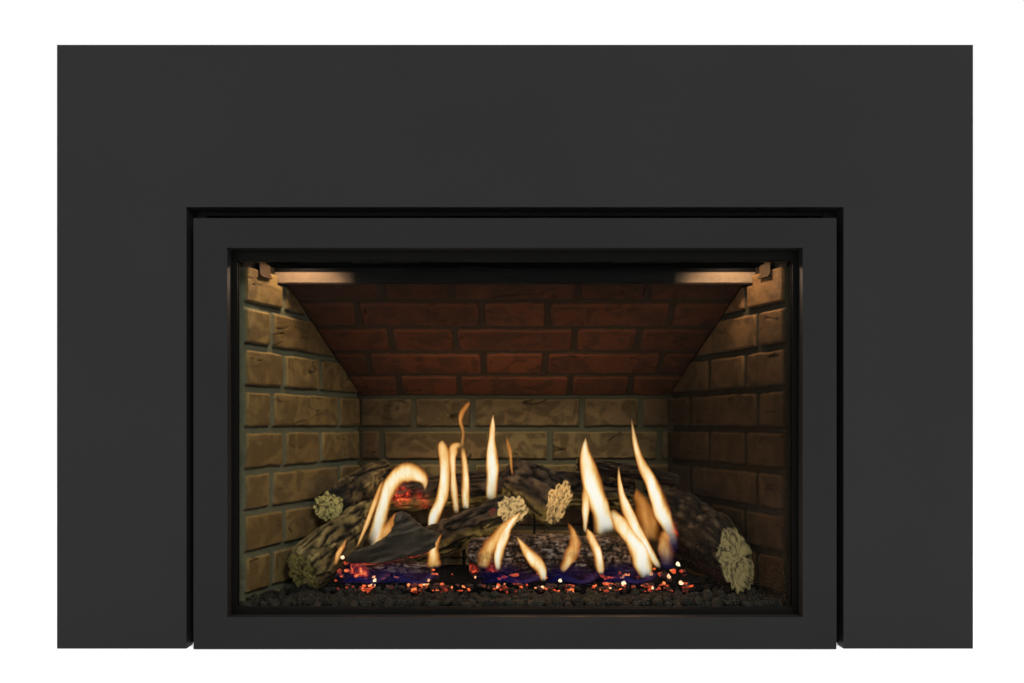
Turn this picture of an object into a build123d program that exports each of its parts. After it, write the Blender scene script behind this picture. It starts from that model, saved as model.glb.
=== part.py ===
"""Direct-vent gas fireplace insert with its three-sided surround, millimetres.

X runs to the right, Y to the back and Z up. The origin is on the hearth, under the middle
of the whole object. Depths are counted backwards from the surround's front face.
"""
from build123d import *
import math
import os
import random

os.makedirs("parts", exist_ok=True)

# ------------------------------------------------------------- driving dimensions
FRAME_PROUD = 6.0        # the front frame stands this far in front of the surround
CASING_DEPTH = 420.0     # back of the casing
FACE_Y = -(CASING_DEPTH - FRAME_PROUD) / 2

SURROUND_WIDTH = 1118.0
SURROUND_HEIGHT = 737.0
SURROUND_SHEET = 2.0
SURROUND_RETURN = 25.0   # depth of the folded outer edge
SURROUND_LIP = 12.0
OPENING_HALF = 401.0     # half width of the surround's opening
OPENING_TOP = 539.0
INNER_RETURN = 20.0
INNER_LIP = 20.0

FRAME_HALF = 390.0       # front frame, half width
FRAME_BOTTOM = 1.0
FRAME_TOP = 524.0
FRAME_SHEET = 2.0
FRAME_DEPTH = 22.0       # face to the back of the outer return
WINDOW_HALF = 349.0
WINDOW_BOTTOM = 40.0
WINDOW_TOP = 488.0
WINDOW_RETURN = 14.0

DOOR_FRONT = 12.0        # depth of the glass door's face
DOOR_SHEET = 1.5
DOOR_DEPTH = 10.0
DOOR_HALF = 372.0
DOOR_BOTTOM = 34.0
DOOR_TOP = 494.0
SIGHT_HALF = 343.0       # what the door frame leaves of the glass
SIGHT_BOTTOM = 46.0
SIGHT_TOP = 477.0
GLASS_THICK = 5.0
GLASS_HALF = 362.0
GLASS_BOTTOM = 38.5
GLASS_TOP = 486.0

CASING_HALF = 385.0
CASING_FRONT = 20.0
CASING_TAPER = 290.0     # depth where the sides turn inwards
CASING_BACK_HALF = 300.0
CASING_TOP = 548.0
CASING_SHEET = 1.5
PAN_SHEET = 2.0

FLANGE_FRONT = 26.0      # front flange of the firebox, which the gasket meets
FLANGE_HALF = 380.0
FLANGE_BOTTOM = 24.0
FLANGE_TOP = 514.0
BOX_SHEET = 2.0
BOX_FRONT_HALF = 371.0   # inside of the firebox at its front
BOX_BACK_HALF = 264.0
BOX_FRONT = 28.0
BOX_BACK = 347.0
BOX_FLOOR = 40.0
BOX_CEILING = 508.0

LINER_FRONT = 45.0       # depth of the side panels' front edge
LINER_BACK = 327.0       # depth of the rear panel's face
LINER_FRONT_HALF = 347.0
LINER_BACK_HALF = 252.0
LINER_THICK = 14.0
LINER_SIDE_END = 322.0
SLOPE_FOOT = 322.0       # height where the upper panel starts
SLOPE_HEAD = 474.0
SLOPE_ANGLE = math.radians(37.05)
COURSE = 53.4            # brick and joint
JOINT = 8.6
STRETCHER = 169.0
HEADER = 87.0
BRICK_PROUD = 3.0
JOINT_LEVEL = 53.6       # height of the lowest level joint

VENT_RADIUS = 38.1
VENT_TOP = 592.0
EXHAUST_AT = (-67.0, 250.0)
INTAKE_AT = (70.0, 332.0)

BURNER_HALF = 250.0
BURNER_FRONT = 95.0
BURNER_BACK = 235.0
BURNER_TOP = 62.0


# ------------------------------------------------------------- planes and small helpers
def front_plane(depth):
    """Faces the viewer. Sketch X is X and sketch Y is height."""
    return Plane(origin=(0, FACE_Y + depth, 0), x_dir=(1, 0, 0), z_dir=(0, -1, 0))


def side_plane(x):
    """Faces right. Sketch X is depth and sketch Y is height."""
    return Plane(origin=(x, FACE_Y, 0), x_dir=(0, 1, 0), z_dir=(1, 0, 0))


def level_plane(z):
    """Faces up. Sketch X is X and sketch Y is depth."""
    return Plane(origin=(0, FACE_Y, z), x_dir=(1, 0, 0), z_dir=(0, 0, 1))


def place(x, depth, z):
    return (x, FACE_Y + depth, z)


def rect(left, right, low, high, mode=Mode.ADD):
    """A rectangle between two pairs of sketch coordinates."""
    with Locations(((left + right) / 2, (low + high) / 2)):
        Rectangle(right - left, high - low, mode=mode)


def three_sides(half, top, inner_half, inner_top):
    """An upside-down U that stands on the hearth."""
    rect(-half, half, 0, top)
    rect(-inner_half, inner_half, -1, inner_top, Mode.SUBTRACT)


def ring(half, low, high, inner_half, inner_low, inner_high):
    rect(-half, half, low, high)
    rect(-inner_half, inner_half, inner_low, inner_high, Mode.SUBTRACT)


def casing_outline(inset):
    """Plan of the casing, drawn in by inset from its outer face."""
    run = CASING_DEPTH - CASING_TAPER
    fall = CASING_HALF - CASING_BACK_HALF
    length = math.hypot(run, fall)
    across = run / length
    along = fall / length
    shoulder = CASING_TAPER - inset * (1 - across) / along
    heel = CASING_HALF - (inset + along * (run - inset)) / across
    half = CASING_HALF - inset
    back = CASING_DEPTH - inset
    Polygon(
        (-half, CASING_FRONT + inset), (half, CASING_FRONT + inset), (half, shoulder),
        (heel, back), (-heel, back), (-half, shoulder), align=None)


def box_half(depth):
    """Inside half width of the firebox shell at a depth."""
    slope = (BOX_FRONT_HALF - BOX_BACK_HALF) / (BOX_BACK - BOX_FRONT)
    return BOX_FRONT_HALF - slope * (depth - BOX_FRONT)


def box_outline(front, back, grow):
    """Plan of the firebox between two depths, grown outwards by grow."""
    Polygon(
        (-box_half(front) - grow, front), (box_half(front) + grow, front),
        (box_half(back) + grow, back), (-box_half(back) - grow, back), align=None)


def liner_half(depth):
    """Half width between the mortar faces of the two side panels at a depth."""
    slope = (LINER_FRONT_HALF - LINER_BACK_HALF) / (LINER_BACK - LINER_FRONT)
    return LINER_FRONT_HALF - slope * (depth - LINER_FRONT)


# ------------------------------------------------------------- surround
with BuildPart() as surround_panel:
    with BuildSketch(front_plane(SURROUND_SHEET)):
        three_sides(SURROUND_WIDTH / 2, SURROUND_HEIGHT, OPENING_HALF, OPENING_TOP)
    extrude(amount=SURROUND_SHEET)
    with BuildSketch(front_plane(SURROUND_RETURN)):
        three_sides(SURROUND_WIDTH / 2, SURROUND_HEIGHT,
                    SURROUND_WIDTH / 2 - SURROUND_SHEET, SURROUND_HEIGHT - SURROUND_SHEET)
    extrude(amount=SURROUND_RETURN)
    with BuildSketch(front_plane(SURROUND_RETURN)):
        three_sides(SURROUND_WIDTH / 2, SURROUND_HEIGHT,
                    SURROUND_WIDTH / 2 - SURROUND_LIP, SURROUND_HEIGHT - SURROUND_LIP)
    extrude(amount=SURROUND_SHEET)
    with BuildSketch(front_plane(INNER_RETURN)):
        three_sides(OPENING_HALF + SURROUND_SHEET, OPENING_TOP + SURROUND_SHEET,
                    OPENING_HALF, OPENING_TOP)
    extrude(amount=INNER_RETURN)
    with BuildSketch(front_plane(INNER_RETURN)):
        three_sides(OPENING_HALF + INNER_LIP, OPENING_TOP + INNER_LIP,
                    OPENING_HALF, OPENING_TOP)
    extrude(amount=SURROUND_SHEET)
surround_panel.part.label = "surround_panel"
export_step(surround_panel.part, "parts/surround_panel.step")

BRACKET_LOW = 2.0
BRACKET_HIGH = OPENING_TOP + INNER_LIP
BRACKET_SHEET = 1.5
BRACKET_LEG = 40.0
BRACKET_HALF = 384.0     # half length of the top bracket
BRACKET_REACH = 420.0

with BuildPart() as surround_brackets:
    with BuildSketch(level_plane(BRACKET_LOW)):
        rect(CASING_HALF, CASING_HALF + BRACKET_SHEET, INNER_RETURN, INNER_RETURN + BRACKET_LEG)
        rect(CASING_HALF, BRACKET_REACH, INNER_RETURN, INNER_RETURN + BRACKET_SHEET)
    extrude(amount=BRACKET_HIGH - BRACKET_LOW)
    mirror(about=Plane.YZ)
    with BuildSketch(side_plane(-BRACKET_HALF)):
        rect(INNER_RETURN, INNER_RETURN + BRACKET_LEG, CASING_TOP, CASING_TOP + BRACKET_SHEET)
        rect(INNER_RETURN, INNER_RETURN + BRACKET_SHEET, OPENING_TOP + 1, OPENING_TOP + INNER_LIP)
    extrude(amount=2 * BRACKET_HALF)
surround_brackets.part.label = "surround_brackets"
export_step(surround_brackets.part, "parts/surround_brackets.step")

# ------------------------------------------------------------- front frame, held on by magnets
FACE_BACK = FRAME_SHEET - FRAME_PROUD          # depth of the back of its face sheet
FRAME_BACK = FRAME_DEPTH - FRAME_PROUD
LIP_LOW = 60.0
LIP_HIGH = 480.0
LIP_INNER = 374.0
LIP_SHEET = 1.5

with BuildPart() as front_frame:
    with BuildSketch(front_plane(FACE_BACK)):
        ring(FRAME_HALF, FRAME_BOTTOM, FRAME_TOP, WINDOW_HALF, WINDOW_BOTTOM, WINDOW_TOP)
    extrude(amount=FRAME_SHEET)
    with BuildSketch(front_plane(WINDOW_RETURN - FRAME_PROUD)):
        ring(WINDOW_HALF + FRAME_SHEET, WINDOW_BOTTOM - FRAME_SHEET, WINDOW_TOP + FRAME_SHEET,
             WINDOW_HALF, WINDOW_BOTTOM, WINDOW_TOP)
    extrude(amount=WINDOW_RETURN)
    with BuildSketch(front_plane(FRAME_BACK)):
        ring(FRAME_HALF, FRAME_BOTTOM, FRAME_TOP,
             FRAME_HALF - FRAME_SHEET, FRAME_BOTTOM - 1, FRAME_TOP - FRAME_SHEET)
    extrude(amount=FRAME_DEPTH)
    with BuildSketch(front_plane(FRAME_BACK)):
        ring(FRAME_HALF, LIP_LOW, LIP_HIGH, LIP_INNER, LIP_LOW - 1, LIP_HIGH + 1)
    extrude(amount=LIP_SHEET)
front_frame.part.label = "front_frame"
export_step(front_frame.part, "parts/front_frame.step")

MAGNET_X = 379.5
MAGNET_HEIGHTS = (120.0, 420.0)
MAGNET_RADIUS = 5.0
MAGNET_THICK = 3.9
MAGNET_BACK = FRAME_BACK + MAGNET_THICK + 0.1
MAGNET_TAB = 22.0

with BuildPart() as frame_magnets:
    with BuildSketch(front_plane(MAGNET_BACK)):
        with Locations(*[(side * MAGNET_X, z) for side in (-1, 1) for z in MAGNET_HEIGHTS]):
            Circle(MAGNET_RADIUS)
    extrude(amount=MAGNET_THICK)
frame_magnets.part.label = "frame_magnets"
export_step(frame_magnets.part, "parts/frame_magnets.step")

CASING_INSIDE = CASING_HALF - CASING_SHEET

with BuildPart() as magnet_brackets:
    for height in MAGNET_HEIGHTS:
        with BuildSketch(level_plane(height - MAGNET_TAB / 2)):
            rect(LIP_INNER, CASING_INSIDE, MAGNET_BACK, MAGNET_BACK + BRACKET_SHEET)
            rect(CASING_INSIDE - BRACKET_SHEET, CASING_INSIDE, MAGNET_BACK, CASING_FRONT + 5)
        extrude(amount=MAGNET_TAB)
    mirror(about=Plane.YZ)
magnet_brackets.part.label = "magnet_brackets"
export_step(magnet_brackets.part, "parts/magnet_brackets.step")

# ------------------------------------------------------------- glass door
DOOR_BACK = DOOR_FRONT + DOOR_DEPTH
GLASS_FRONT = DOOR_FRONT + DOOR_SHEET
GLASS_BACK = GLASS_FRONT + GLASS_THICK
GASKET_GAP = 0.3

with BuildPart() as door_frame:
    with BuildSketch(front_plane(GLASS_FRONT)):
        ring(DOOR_HALF, DOOR_BOTTOM, DOOR_TOP, SIGHT_HALF, SIGHT_BOTTOM, SIGHT_TOP)
    extrude(amount=DOOR_SHEET)
    with BuildSketch(front_plane(DOOR_BACK)):
        ring(DOOR_HALF, DOOR_BOTTOM, DOOR_TOP,
             DOOR_HALF - DOOR_SHEET, DOOR_BOTTOM + DOOR_SHEET, DOOR_TOP - DOOR_SHEET)
    extrude(amount=DOOR_DEPTH)
door_frame.part.label = "door_frame"
export_step(door_frame.part, "parts/door_frame.step")

with BuildPart() as door_glass:
    with BuildSketch(front_plane(GLASS_BACK)):
        rect(-GLASS_HALF, GLASS_HALF, GLASS_BOTTOM, GLASS_TOP)
    extrude(amount=GLASS_THICK)
door_glass.part.label = "door_glass"
export_step(door_glass.part, "parts/door_glass.step")

with BuildPart() as door_gasket:
    with BuildSketch(front_plane(FLANGE_FRONT - GASKET_GAP)):
        ring(356, 40, 484, 348, 46, 477)
    extrude(amount=FLANGE_FRONT - GASKET_GAP - GLASS_BACK)
door_gasket.part.label = "door_gasket"
export_step(door_gasket.part, "parts/door_gasket.step")

CLIP_SHEET = 1.2
CLIP_LENGTH = 30.0
CLIP_HEIGHTS = (110.0, 262.0, 414.0)

with BuildPart() as glass_clips:
    for height in CLIP_HEIGHTS:
        with BuildSketch(level_plane(height - CLIP_LENGTH / 2)):
            rect(GLASS_HALF - 5, GLASS_HALF + 0.2 + CLIP_SHEET, GLASS_BACK, GLASS_BACK + CLIP_SHEET)
            rect(GLASS_HALF + 0.2, GLASS_HALF + 0.2 + CLIP_SHEET,
                 GLASS_FRONT, GLASS_BACK + CLIP_SHEET)
            rect(GLASS_HALF + 0.2, DOOR_HALF - 2, GLASS_FRONT, GLASS_FRONT + CLIP_SHEET)
        extrude(amount=CLIP_LENGTH)
    mirror(about=Plane.YZ)
glass_clips.part.label = "glass_clips"
export_step(glass_clips.part, "parts/glass_clips.step")

LEDGE_HALF = 360.0
LEDGE_TOP = DOOR_BOTTOM - 0.5
LEDGE_FRONT = 9.0

with BuildPart() as door_ledge:
    with BuildSketch(side_plane(-LEDGE_HALF)):
        rect(LEDGE_FRONT, FLANGE_FRONT, LEDGE_TOP - BRACKET_SHEET, LEDGE_TOP)
        rect(LEDGE_FRONT, LEDGE_FRONT + BRACKET_SHEET, LEDGE_TOP - BRACKET_SHEET, 37)
        rect(FLANGE_FRONT - BRACKET_SHEET, FLANGE_FRONT, FLANGE_BOTTOM, LEDGE_TOP)
    extrude(amount=2 * LEDGE_HALF)
door_ledge.part.label = "door_ledge"
export_step(door_ledge.part, "parts/door_ledge.step")

CATCH_X = 150.0
CATCH_WIDTH = 24.0
CATCH_SHEET = 1.0
CATCH_LOW = DOOR_TOP + 0.4

with BuildPart() as door_catches:
    for centre in (-CATCH_X, CATCH_X):
        with BuildSketch(side_plane(centre - CATCH_WIDTH / 2)):
            rect(DOOR_FRONT - 1, FLANGE_FRONT, CATCH_LOW, CATCH_LOW + CATCH_SHEET)
            rect(FLANGE_FRONT - CATCH_SHEET, FLANGE_FRONT, CATCH_LOW, FLANGE_TOP)
            rect(DOOR_FRONT - 1, DOOR_FRONT, CATCH_LOW, CATCH_LOW + 5)
        extrude(amount=CATCH_WIDTH)
door_catches.part.label = "door_catches"
export_step(door_catches.part, "parts/door_catches.step")

# ------------------------------------------------------------- casing
PAN_FLANGE = 20.0
ANCHOR_X = 300.0
ANCHOR_DEPTHS = (60.0, 360.0)
ANCHOR_RADIUS = 4.0
BOLT_AT = (265.0, 394.0)
BOLT_RADIUS = 4.0

with BuildPart() as base_pan:
    with BuildSketch(level_plane(0)):
        casing_outline(CASING_SHEET)
        with Locations(*[(side * ANCHOR_X, d) for side in (-1, 1) for d in ANCHOR_DEPTHS]):
            Circle(ANCHOR_RADIUS, mode=Mode.SUBTRACT)
        with Locations((BOLT_AT[0], BOLT_AT[1]), (-BOLT_AT[0], BOLT_AT[1])):
            Circle(BOLT_RADIUS + 0.4, mode=Mode.SUBTRACT)
    extrude(amount=PAN_SHEET)
    with BuildSketch(level_plane(PAN_SHEET)):
        casing_outline(CASING_SHEET)
        with BuildSketch(mode=Mode.SUBTRACT):
            casing_outline(CASING_SHEET + PAN_SHEET)
        rect(-CASING_HALF, CASING_HALF, CASING_FRONT, CASING_FRONT + 6, Mode.SUBTRACT)
    extrude(amount=PAN_FLANGE)
base_pan.part.label = "base_pan"
export_step(base_pan.part, "parts/base_pan.step")

SPLIT_X = 298.0          # the back sheet ends here and the side sheets begin
GAS_DEPTH = 235.0
GAS_HEIGHT = 50.0
GAS_BORE = 11.0
GROMMET_RADIUS = 16.0


def casing_wall(left, right, gas_hole=False):
    """The part of the casing's wall between two X, without the open front."""
    with BuildPart() as wall:
        with BuildSketch(level_plane(0)):
            casing_outline(0)
            with BuildSketch(mode=Mode.SUBTRACT):
                casing_outline(CASING_SHEET)
            rect(left, right, CASING_FRONT + CASING_SHEET, CASING_DEPTH + 1, Mode.INTERSECT)
        extrude(amount=CASING_TOP)
        if gas_hole:
            with BuildSketch(side_plane(left)):
                with Locations((GAS_DEPTH, GAS_HEIGHT)):
                    Circle(GROMMET_RADIUS - 2)
            extrude(amount=3, mode=Mode.SUBTRACT)
    return wall


casing_left = casing_wall(-CASING_HALF - 1, -SPLIT_X, gas_hole=True)
casing_left.part.label = "casing_left"
export_step(casing_left.part, "parts/casing_left.step")

casing_right = casing_wall(SPLIT_X, CASING_HALF + 1)
casing_right.part.label = "casing_right"
export_step(casing_right.part, "parts/casing_right.step")

casing_back = casing_wall(-SPLIT_X, SPLIT_X)
casing_back.part.label = "casing_back"
export_step(casing_back.part, "parts/casing_back.step")

with BuildPart() as casing_top:
    with BuildSketch(level_plane(CASING_TOP - CASING_SHEET)):
        casing_outline(CASING_SHEET)
        with Locations(EXHAUST_AT, INTAKE_AT):
            Circle(VENT_RADIUS + 0.6, mode=Mode.SUBTRACT)
    extrude(amount=CASING_SHEET)
    with BuildSketch(level_plane(CASING_TOP - 14)):
        rect(-CASING_HALF + CASING_SHEET, CASING_HALF - CASING_SHEET, CASING_FRONT + CASING_SHEET,
             CASING_FRONT + 2 * CASING_SHEET)
    extrude(amount=14)
casing_top.part.label = "casing_top"
export_step(casing_top.part, "parts/casing_top.step")

with BuildPart() as gas_grommet:
    with BuildSketch(side_plane(-CASING_HALF - 3)):
        with Locations((GAS_DEPTH, GAS_HEIGHT)):
            Circle(GROMMET_RADIUS)
    extrude(amount=3)
    with BuildSketch(side_plane(-CASING_HALF)):
        with Locations((GAS_DEPTH, GAS_HEIGHT)):
            Circle(GROMMET_RADIUS - 2.2)
    extrude(amount=3)
    with BuildSketch(side_plane(-CASING_HALF - 3)):
        with Locations((GAS_DEPTH, GAS_HEIGHT)):
            Circle(GAS_BORE)
    extrude(amount=6, mode=Mode.SUBTRACT)
gas_grommet.part.label = "gas_grommet"
export_step(gas_grommet.part, "parts/gas_grommet.step")

SCREW_RADIUS = 4.2
SCREW_HEAD = 2.4
SCREW_DEPTHS = (70.0, 180.0, 270.0)

with BuildPart() as sheet_screws:
    for side in (-1, 1):
        with BuildSketch(side_plane(side * CASING_HALF)):
            with Locations(*[(d, z) for d in SCREW_DEPTHS for z in (12.0, CASING_TOP - 7)]):
                RegularPolygon(radius=SCREW_RADIUS, side_count=6)
        extrude(amount=side * SCREW_HEAD)
sheet_screws.part.label = "sheet_screws"
export_step(sheet_screws.part, "parts/sheet_screws.step")

BOLT_TIP = 0.6
BOLT_HEAD_LOW = 26.0
BOLT_HEAD_HIGH = 32.0


def levelling_bolt(x):
    with BuildPart() as bolt:
        with BuildSketch(level_plane(BOLT_TIP)):
            with Locations((x, BOLT_AT[1])):
                Circle(BOLT_RADIUS)
        extrude(amount=BOLT_HEAD_HIGH - BOLT_TIP)
        with BuildSketch(level_plane(BOLT_HEAD_LOW)):
            with Locations((x, BOLT_AT[1])):
                RegularPolygon(radius=7.5, side_count=6)
        extrude(amount=BOLT_HEAD_HIGH - BOLT_HEAD_LOW)
    return bolt


levelling_bolt_left = levelling_bolt(-BOLT_AT[0])
levelling_bolt_left.part.label = "levelling_bolt_left"
export_step(levelling_bolt_left.part, "parts/levelling_bolt_left.step")

levelling_bolt_right = levelling_bolt(BOLT_AT[0])
levelling_bolt_right.part.label = "levelling_bolt_right"
export_step(levelling_bolt_right.part, "parts/levelling_bolt_right.step")

# ------------------------------------------------------------- firebox shell
FLAP_X = 190.0
RELIEF_WIDTH = 100.0
RELIEF_FRONT = 150.0
RELIEF_BACK = 200.0
LAMP_AT = (300.0, 80.0)
LAMP_SLOT = (48.0, 26.0)
ORIFICE_AT = (-120.0, 312.0)
HINGE_DEPTH = 205.5
HINGE_HEIGHT = 513.5
HINGE_PIN = 1.5
EAR_X = 56.5
BOX_TOP = BOX_CEILING + BOX_SHEET
RAIL_X = 190.0
AIR_SLOT = (35.0, 105.0, 95.0, 125.0)     # left, right, low and high

with BuildPart() as firebox_shell:
    with BuildSketch(level_plane(BOX_FLOOR - BOX_SHEET)):
        box_outline(BOX_FRONT, BOX_BACK + BOX_SHEET, BOX_SHEET)
    extrude(amount=BOX_TOP - BOX_FLOOR + BOX_SHEET)
    with BuildSketch(level_plane(BOX_FLOOR)):
        box_outline(BOX_FRONT - 5, BOX_BACK, 0)
    extrude(amount=BOX_CEILING - BOX_FLOOR, mode=Mode.SUBTRACT)
    with BuildSketch(front_plane(BOX_FRONT)):
        ring(FLANGE_HALF, FLANGE_BOTTOM, FLANGE_TOP, 346, 44, 480)
    extrude(amount=BOX_FRONT - FLANGE_FRONT)
    with BuildSketch(level_plane(BOX_CEILING)):
        for side in (-1, 1):
            rect(side * FLAP_X - RELIEF_WIDTH / 2, side * FLAP_X + RELIEF_WIDTH / 2,
                 RELIEF_FRONT, RELIEF_BACK)
            with Locations((side * LAMP_AT[0], LAMP_AT[1])):
                Rectangle(*LAMP_SLOT)
        with Locations(EXHAUST_AT):
            Circle(VENT_RADIUS + 0.2)
    extrude(amount=BOX_SHEET, mode=Mode.SUBTRACT)
    with BuildSketch(level_plane(BOX_FLOOR - BOX_SHEET)):
        with Locations(ORIFICE_AT):
            Circle(6)
    extrude(amount=BOX_SHEET, mode=Mode.SUBTRACT)
    with BuildSketch(front_plane(BOX_BACK + BOX_SHEET)):
        rect(*AIR_SLOT)
    extrude(amount=BOX_SHEET, mode=Mode.SUBTRACT)
    with BuildSketch(level_plane(PAN_SHEET)):
        for side in (-1, 1):
            ring_left = side * RAIL_X - 10
            rect(ring_left, ring_left + 20, 60, 295)
            rect(ring_left + BOX_SHEET, ring_left + 20 - BOX_SHEET, 59, 296, Mode.SUBTRACT)
    extrude(amount=BOX_FLOOR - BOX_SHEET - PAN_SHEET)
    for side in (-1, 1):
        for end in (-1, 1):
            ear = side * FLAP_X + end * EAR_X
            with BuildSketch(side_plane(ear - BRACKET_SHEET / 2)):
                rect(HINGE_DEPTH - 4, HINGE_DEPTH + 4, BOX_TOP, HINGE_HEIGHT + 4)
                with Locations((HINGE_DEPTH, HINGE_HEIGHT)):
                    Circle(HINGE_PIN + 0.3, mode=Mode.SUBTRACT)
            extrude(amount=BRACKET_SHEET)
firebox_shell.part.label = "firebox_shell"
export_step(firebox_shell.part, "parts/firebox_shell.step")

# ------------------------------------------------------------- brick-pattern liner panels
BRICK_EDGE = 24.0        # taper of the brick faces' edges, degrees
BRICK_WOBBLE = 1.4       # how far a brick's edge strays
SIDE_LENGTH = (LINER_SIDE_END - LINER_FRONT) * math.hypot(
    LINER_FRONT_HALF - LINER_BACK_HALF, LINER_BACK - LINER_FRONT) / (LINER_BACK - LINER_FRONT)
SIDE_JOINTS = ((84.0, 175.0), (56.0, 227.0))   # distances of the upright joints, by course
BAR_FRONT = 113.0
BAR_NOTCH = (108.0, 465.0)                     # depth and height where the retainer bar passes
SIDE_TOP = 486.0


upper_face = Plane(origin=place(0, LINER_BACK, SLOPE_FOOT), x_dir=(1, 0, 0),
                   z_dir=(0, -math.sin(SLOPE_ANGLE), -math.cos(SLOPE_ANGLE)))
BRICK_INSET = 2.5        # bricks stop this far inside a panel's edge
BRICK_LEAST = 13.0       # a cut brick narrower than this is left as mortar


def cut(points, limit):
    """The part of a polygon where a * x + b * y is at most c, for limit = (a, b, c)."""
    a, b, c = limit
    kept = []
    for start, end in zip(points, points[1:] + points[:1]):
        over_start = a * start[0] + b * start[1] - c
        over_end = a * end[0] + b * end[1] - c
        if over_start <= 0:
            kept.append(start)
        if over_start * over_end < 0:
            share = over_start / (over_start - over_end)
            kept.append((start[0] + share * (end[0] - start[0]),
                         start[1] + share * (end[1] - start[1])))
    return kept


def brick(left, right, low, high, rng, limits=()):
    """One brick face with edges that are not quite square, cut back to the limits."""
    corners = []
    for x, y in ((left, low), (right, low), (right, high), (left, high)):
        corners.append((x + rng.uniform(-BRICK_WOBBLE, BRICK_WOBBLE),
                        y + rng.uniform(-BRICK_WOBBLE, BRICK_WOBBLE)))
    for limit in limits:
        corners = cut(corners, limit)
    if len(corners) < 3:
        return
    width = max(x for x, _ in corners) - min(x for x, _ in corners)
    height = max(y for _, y in corners) - min(y for _, y in corners)
    if min(width, height) > BRICK_LEAST:
        Polygon(*corners, align=None)


def side_outline(way):
    """Outline of a side panel: lengths from its front edge, to the left for way = -1."""
    stretch = SIDE_LENGTH / (LINER_SIDE_END - LINER_FRONT)
    corners = ((LINER_FRONT, BOX_FLOOR + 1), (LINER_SIDE_END, BOX_FLOOR + 1),
               (LINER_SIDE_END, BAR_NOTCH[1]), (BAR_NOTCH[0], BAR_NOTCH[1]),
               (BAR_NOTCH[0], SIDE_TOP), (LINER_FRONT, SIDE_TOP))
    return [(way * stretch * (depth - LINER_FRONT), z) for depth, z in corners]


def brick_panel_side(side, seed):
    """Left panel for side = -1, right panel for side = 1."""
    rng = random.Random(seed)
    way = -side
    lean = LINER_FRONT_HALF - LINER_BACK_HALF
    run = LINER_BACK - LINER_FRONT
    stretch = SIDE_LENGTH / (LINER_SIDE_END - LINER_FRONT)
    rise = math.tan(SLOPE_ANGLE)
    notch = stretch * (BAR_NOTCH[0] - LINER_FRONT) + JOINT / 2 - BRICK_INSET
    under_slope = (way * rise / stretch, 1, SLOPE_FOOT + run * rise - BRICK_INSET - 2)
    under_notch = (0, 1, BAR_NOTCH[1] - BRICK_INSET)
    under_top = (0, 1, SIDE_TOP - BRICK_INSET)
    over_floor = (0, -1, -BOX_FLOOR - 1 - BRICK_INSET)
    face = Plane(origin=place(side * LINER_FRONT_HALF, LINER_FRONT, 0),
                 x_dir=(lean, way * run, 0), z_dir=(way * run, -lean, 0))
    with BuildPart() as panel:
        with BuildSketch(face.offset(-LINER_THICK)):
            Polygon(*side_outline(way), align=None)
        extrude(amount=LINER_THICK)
        with BuildSketch(face):
            for course in range(-1, 9):
                low = JOINT_LEVEL + course * COURSE + JOINT / 2
                first, second = SIDE_JOINTS[course % 2]
                if low + COURSE > BAR_NOTCH[1]:
                    first = notch
                ends = (BRICK_INSET - JOINT / 2, first, second, SIDE_LENGTH)
                for start, end in zip(ends, ends[1:]):
                    above = under_top if start < 0 else under_notch
                    brick(way * (start + JOINT / 2), way * (end - JOINT / 2),
                          low, low + COURSE - JOINT, rng, (under_slope, above, over_floor))
        extrude(amount=BRICK_PROUD, taper=BRICK_EDGE)
        split(bisect_by=upper_face.offset(0.6), keep=Keep.TOP)
    return panel


def flemish_course(centre, low, rng, limits):
    """Stretchers and headers in turn, cut back to the limits."""
    period = STRETCHER + HEADER + 2 * JOINT
    for step in range(-2, 3):
        middle = centre + step * period
        for offset, length in ((0, STRETCHER), (period / 2, HEADER)):
            brick(middle + offset - length / 2, middle + offset + length / 2,
                  low, low + COURSE - JOINT, rng, limits)


brick_panel_left = brick_panel_side(-1, 11)
brick_panel_left.part.label = "brick_panel_left"
export_step(brick_panel_left.part, "parts/brick_panel_left.step")

brick_panel_right = brick_panel_side(1, 12)
brick_panel_right.part.label = "brick_panel_right"
export_step(brick_panel_right.part, "parts/brick_panel_right.step")

REAR_HALF = 262.0
REAR_CENTRES = (146.0, 20.0)     # middle of a stretcher, by course

with BuildPart() as brick_panel_rear:
    with BuildSketch(front_plane(LINER_BACK + LINER_THICK)):
        rect(-REAR_HALF, REAR_HALF, BOX_FLOOR + 1, SLOPE_FOOT - 0.6)
    extrude(amount=LINER_THICK)
    with BuildSketch(front_plane(LINER_BACK)):
        rear_rng = random.Random(13)
        rear_edge = LINER_BACK_HALF - BRICK_INSET - 1
        for course in range(5):
            course_low = JOINT_LEVEL + course * COURSE + JOINT / 2
            flemish_course(REAR_CENTRES[course % 2], course_low, rear_rng,
                           ((1, 0, rear_edge), (-1, 0, rear_edge)))
    extrude(amount=BRICK_PROUD, taper=BRICK_EDGE)
brick_panel_rear.part.label = "brick_panel_rear"
export_step(brick_panel_rear.part, "parts/brick_panel_rear.step")

UPPER_LENGTH = (SLOPE_HEAD - SLOPE_FOOT) / math.sin(SLOPE_ANGLE)
UPPER_CENTRES = (0.0, 136.0)
UPPER_OVERHANG = 9.0             # the upper panel rests on the side panels' tops

def upper_half(length):
    """Half width between the side panels at a distance up the slope."""
    return liner_half(LINER_BACK - length * math.cos(SLOPE_ANGLE))


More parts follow.
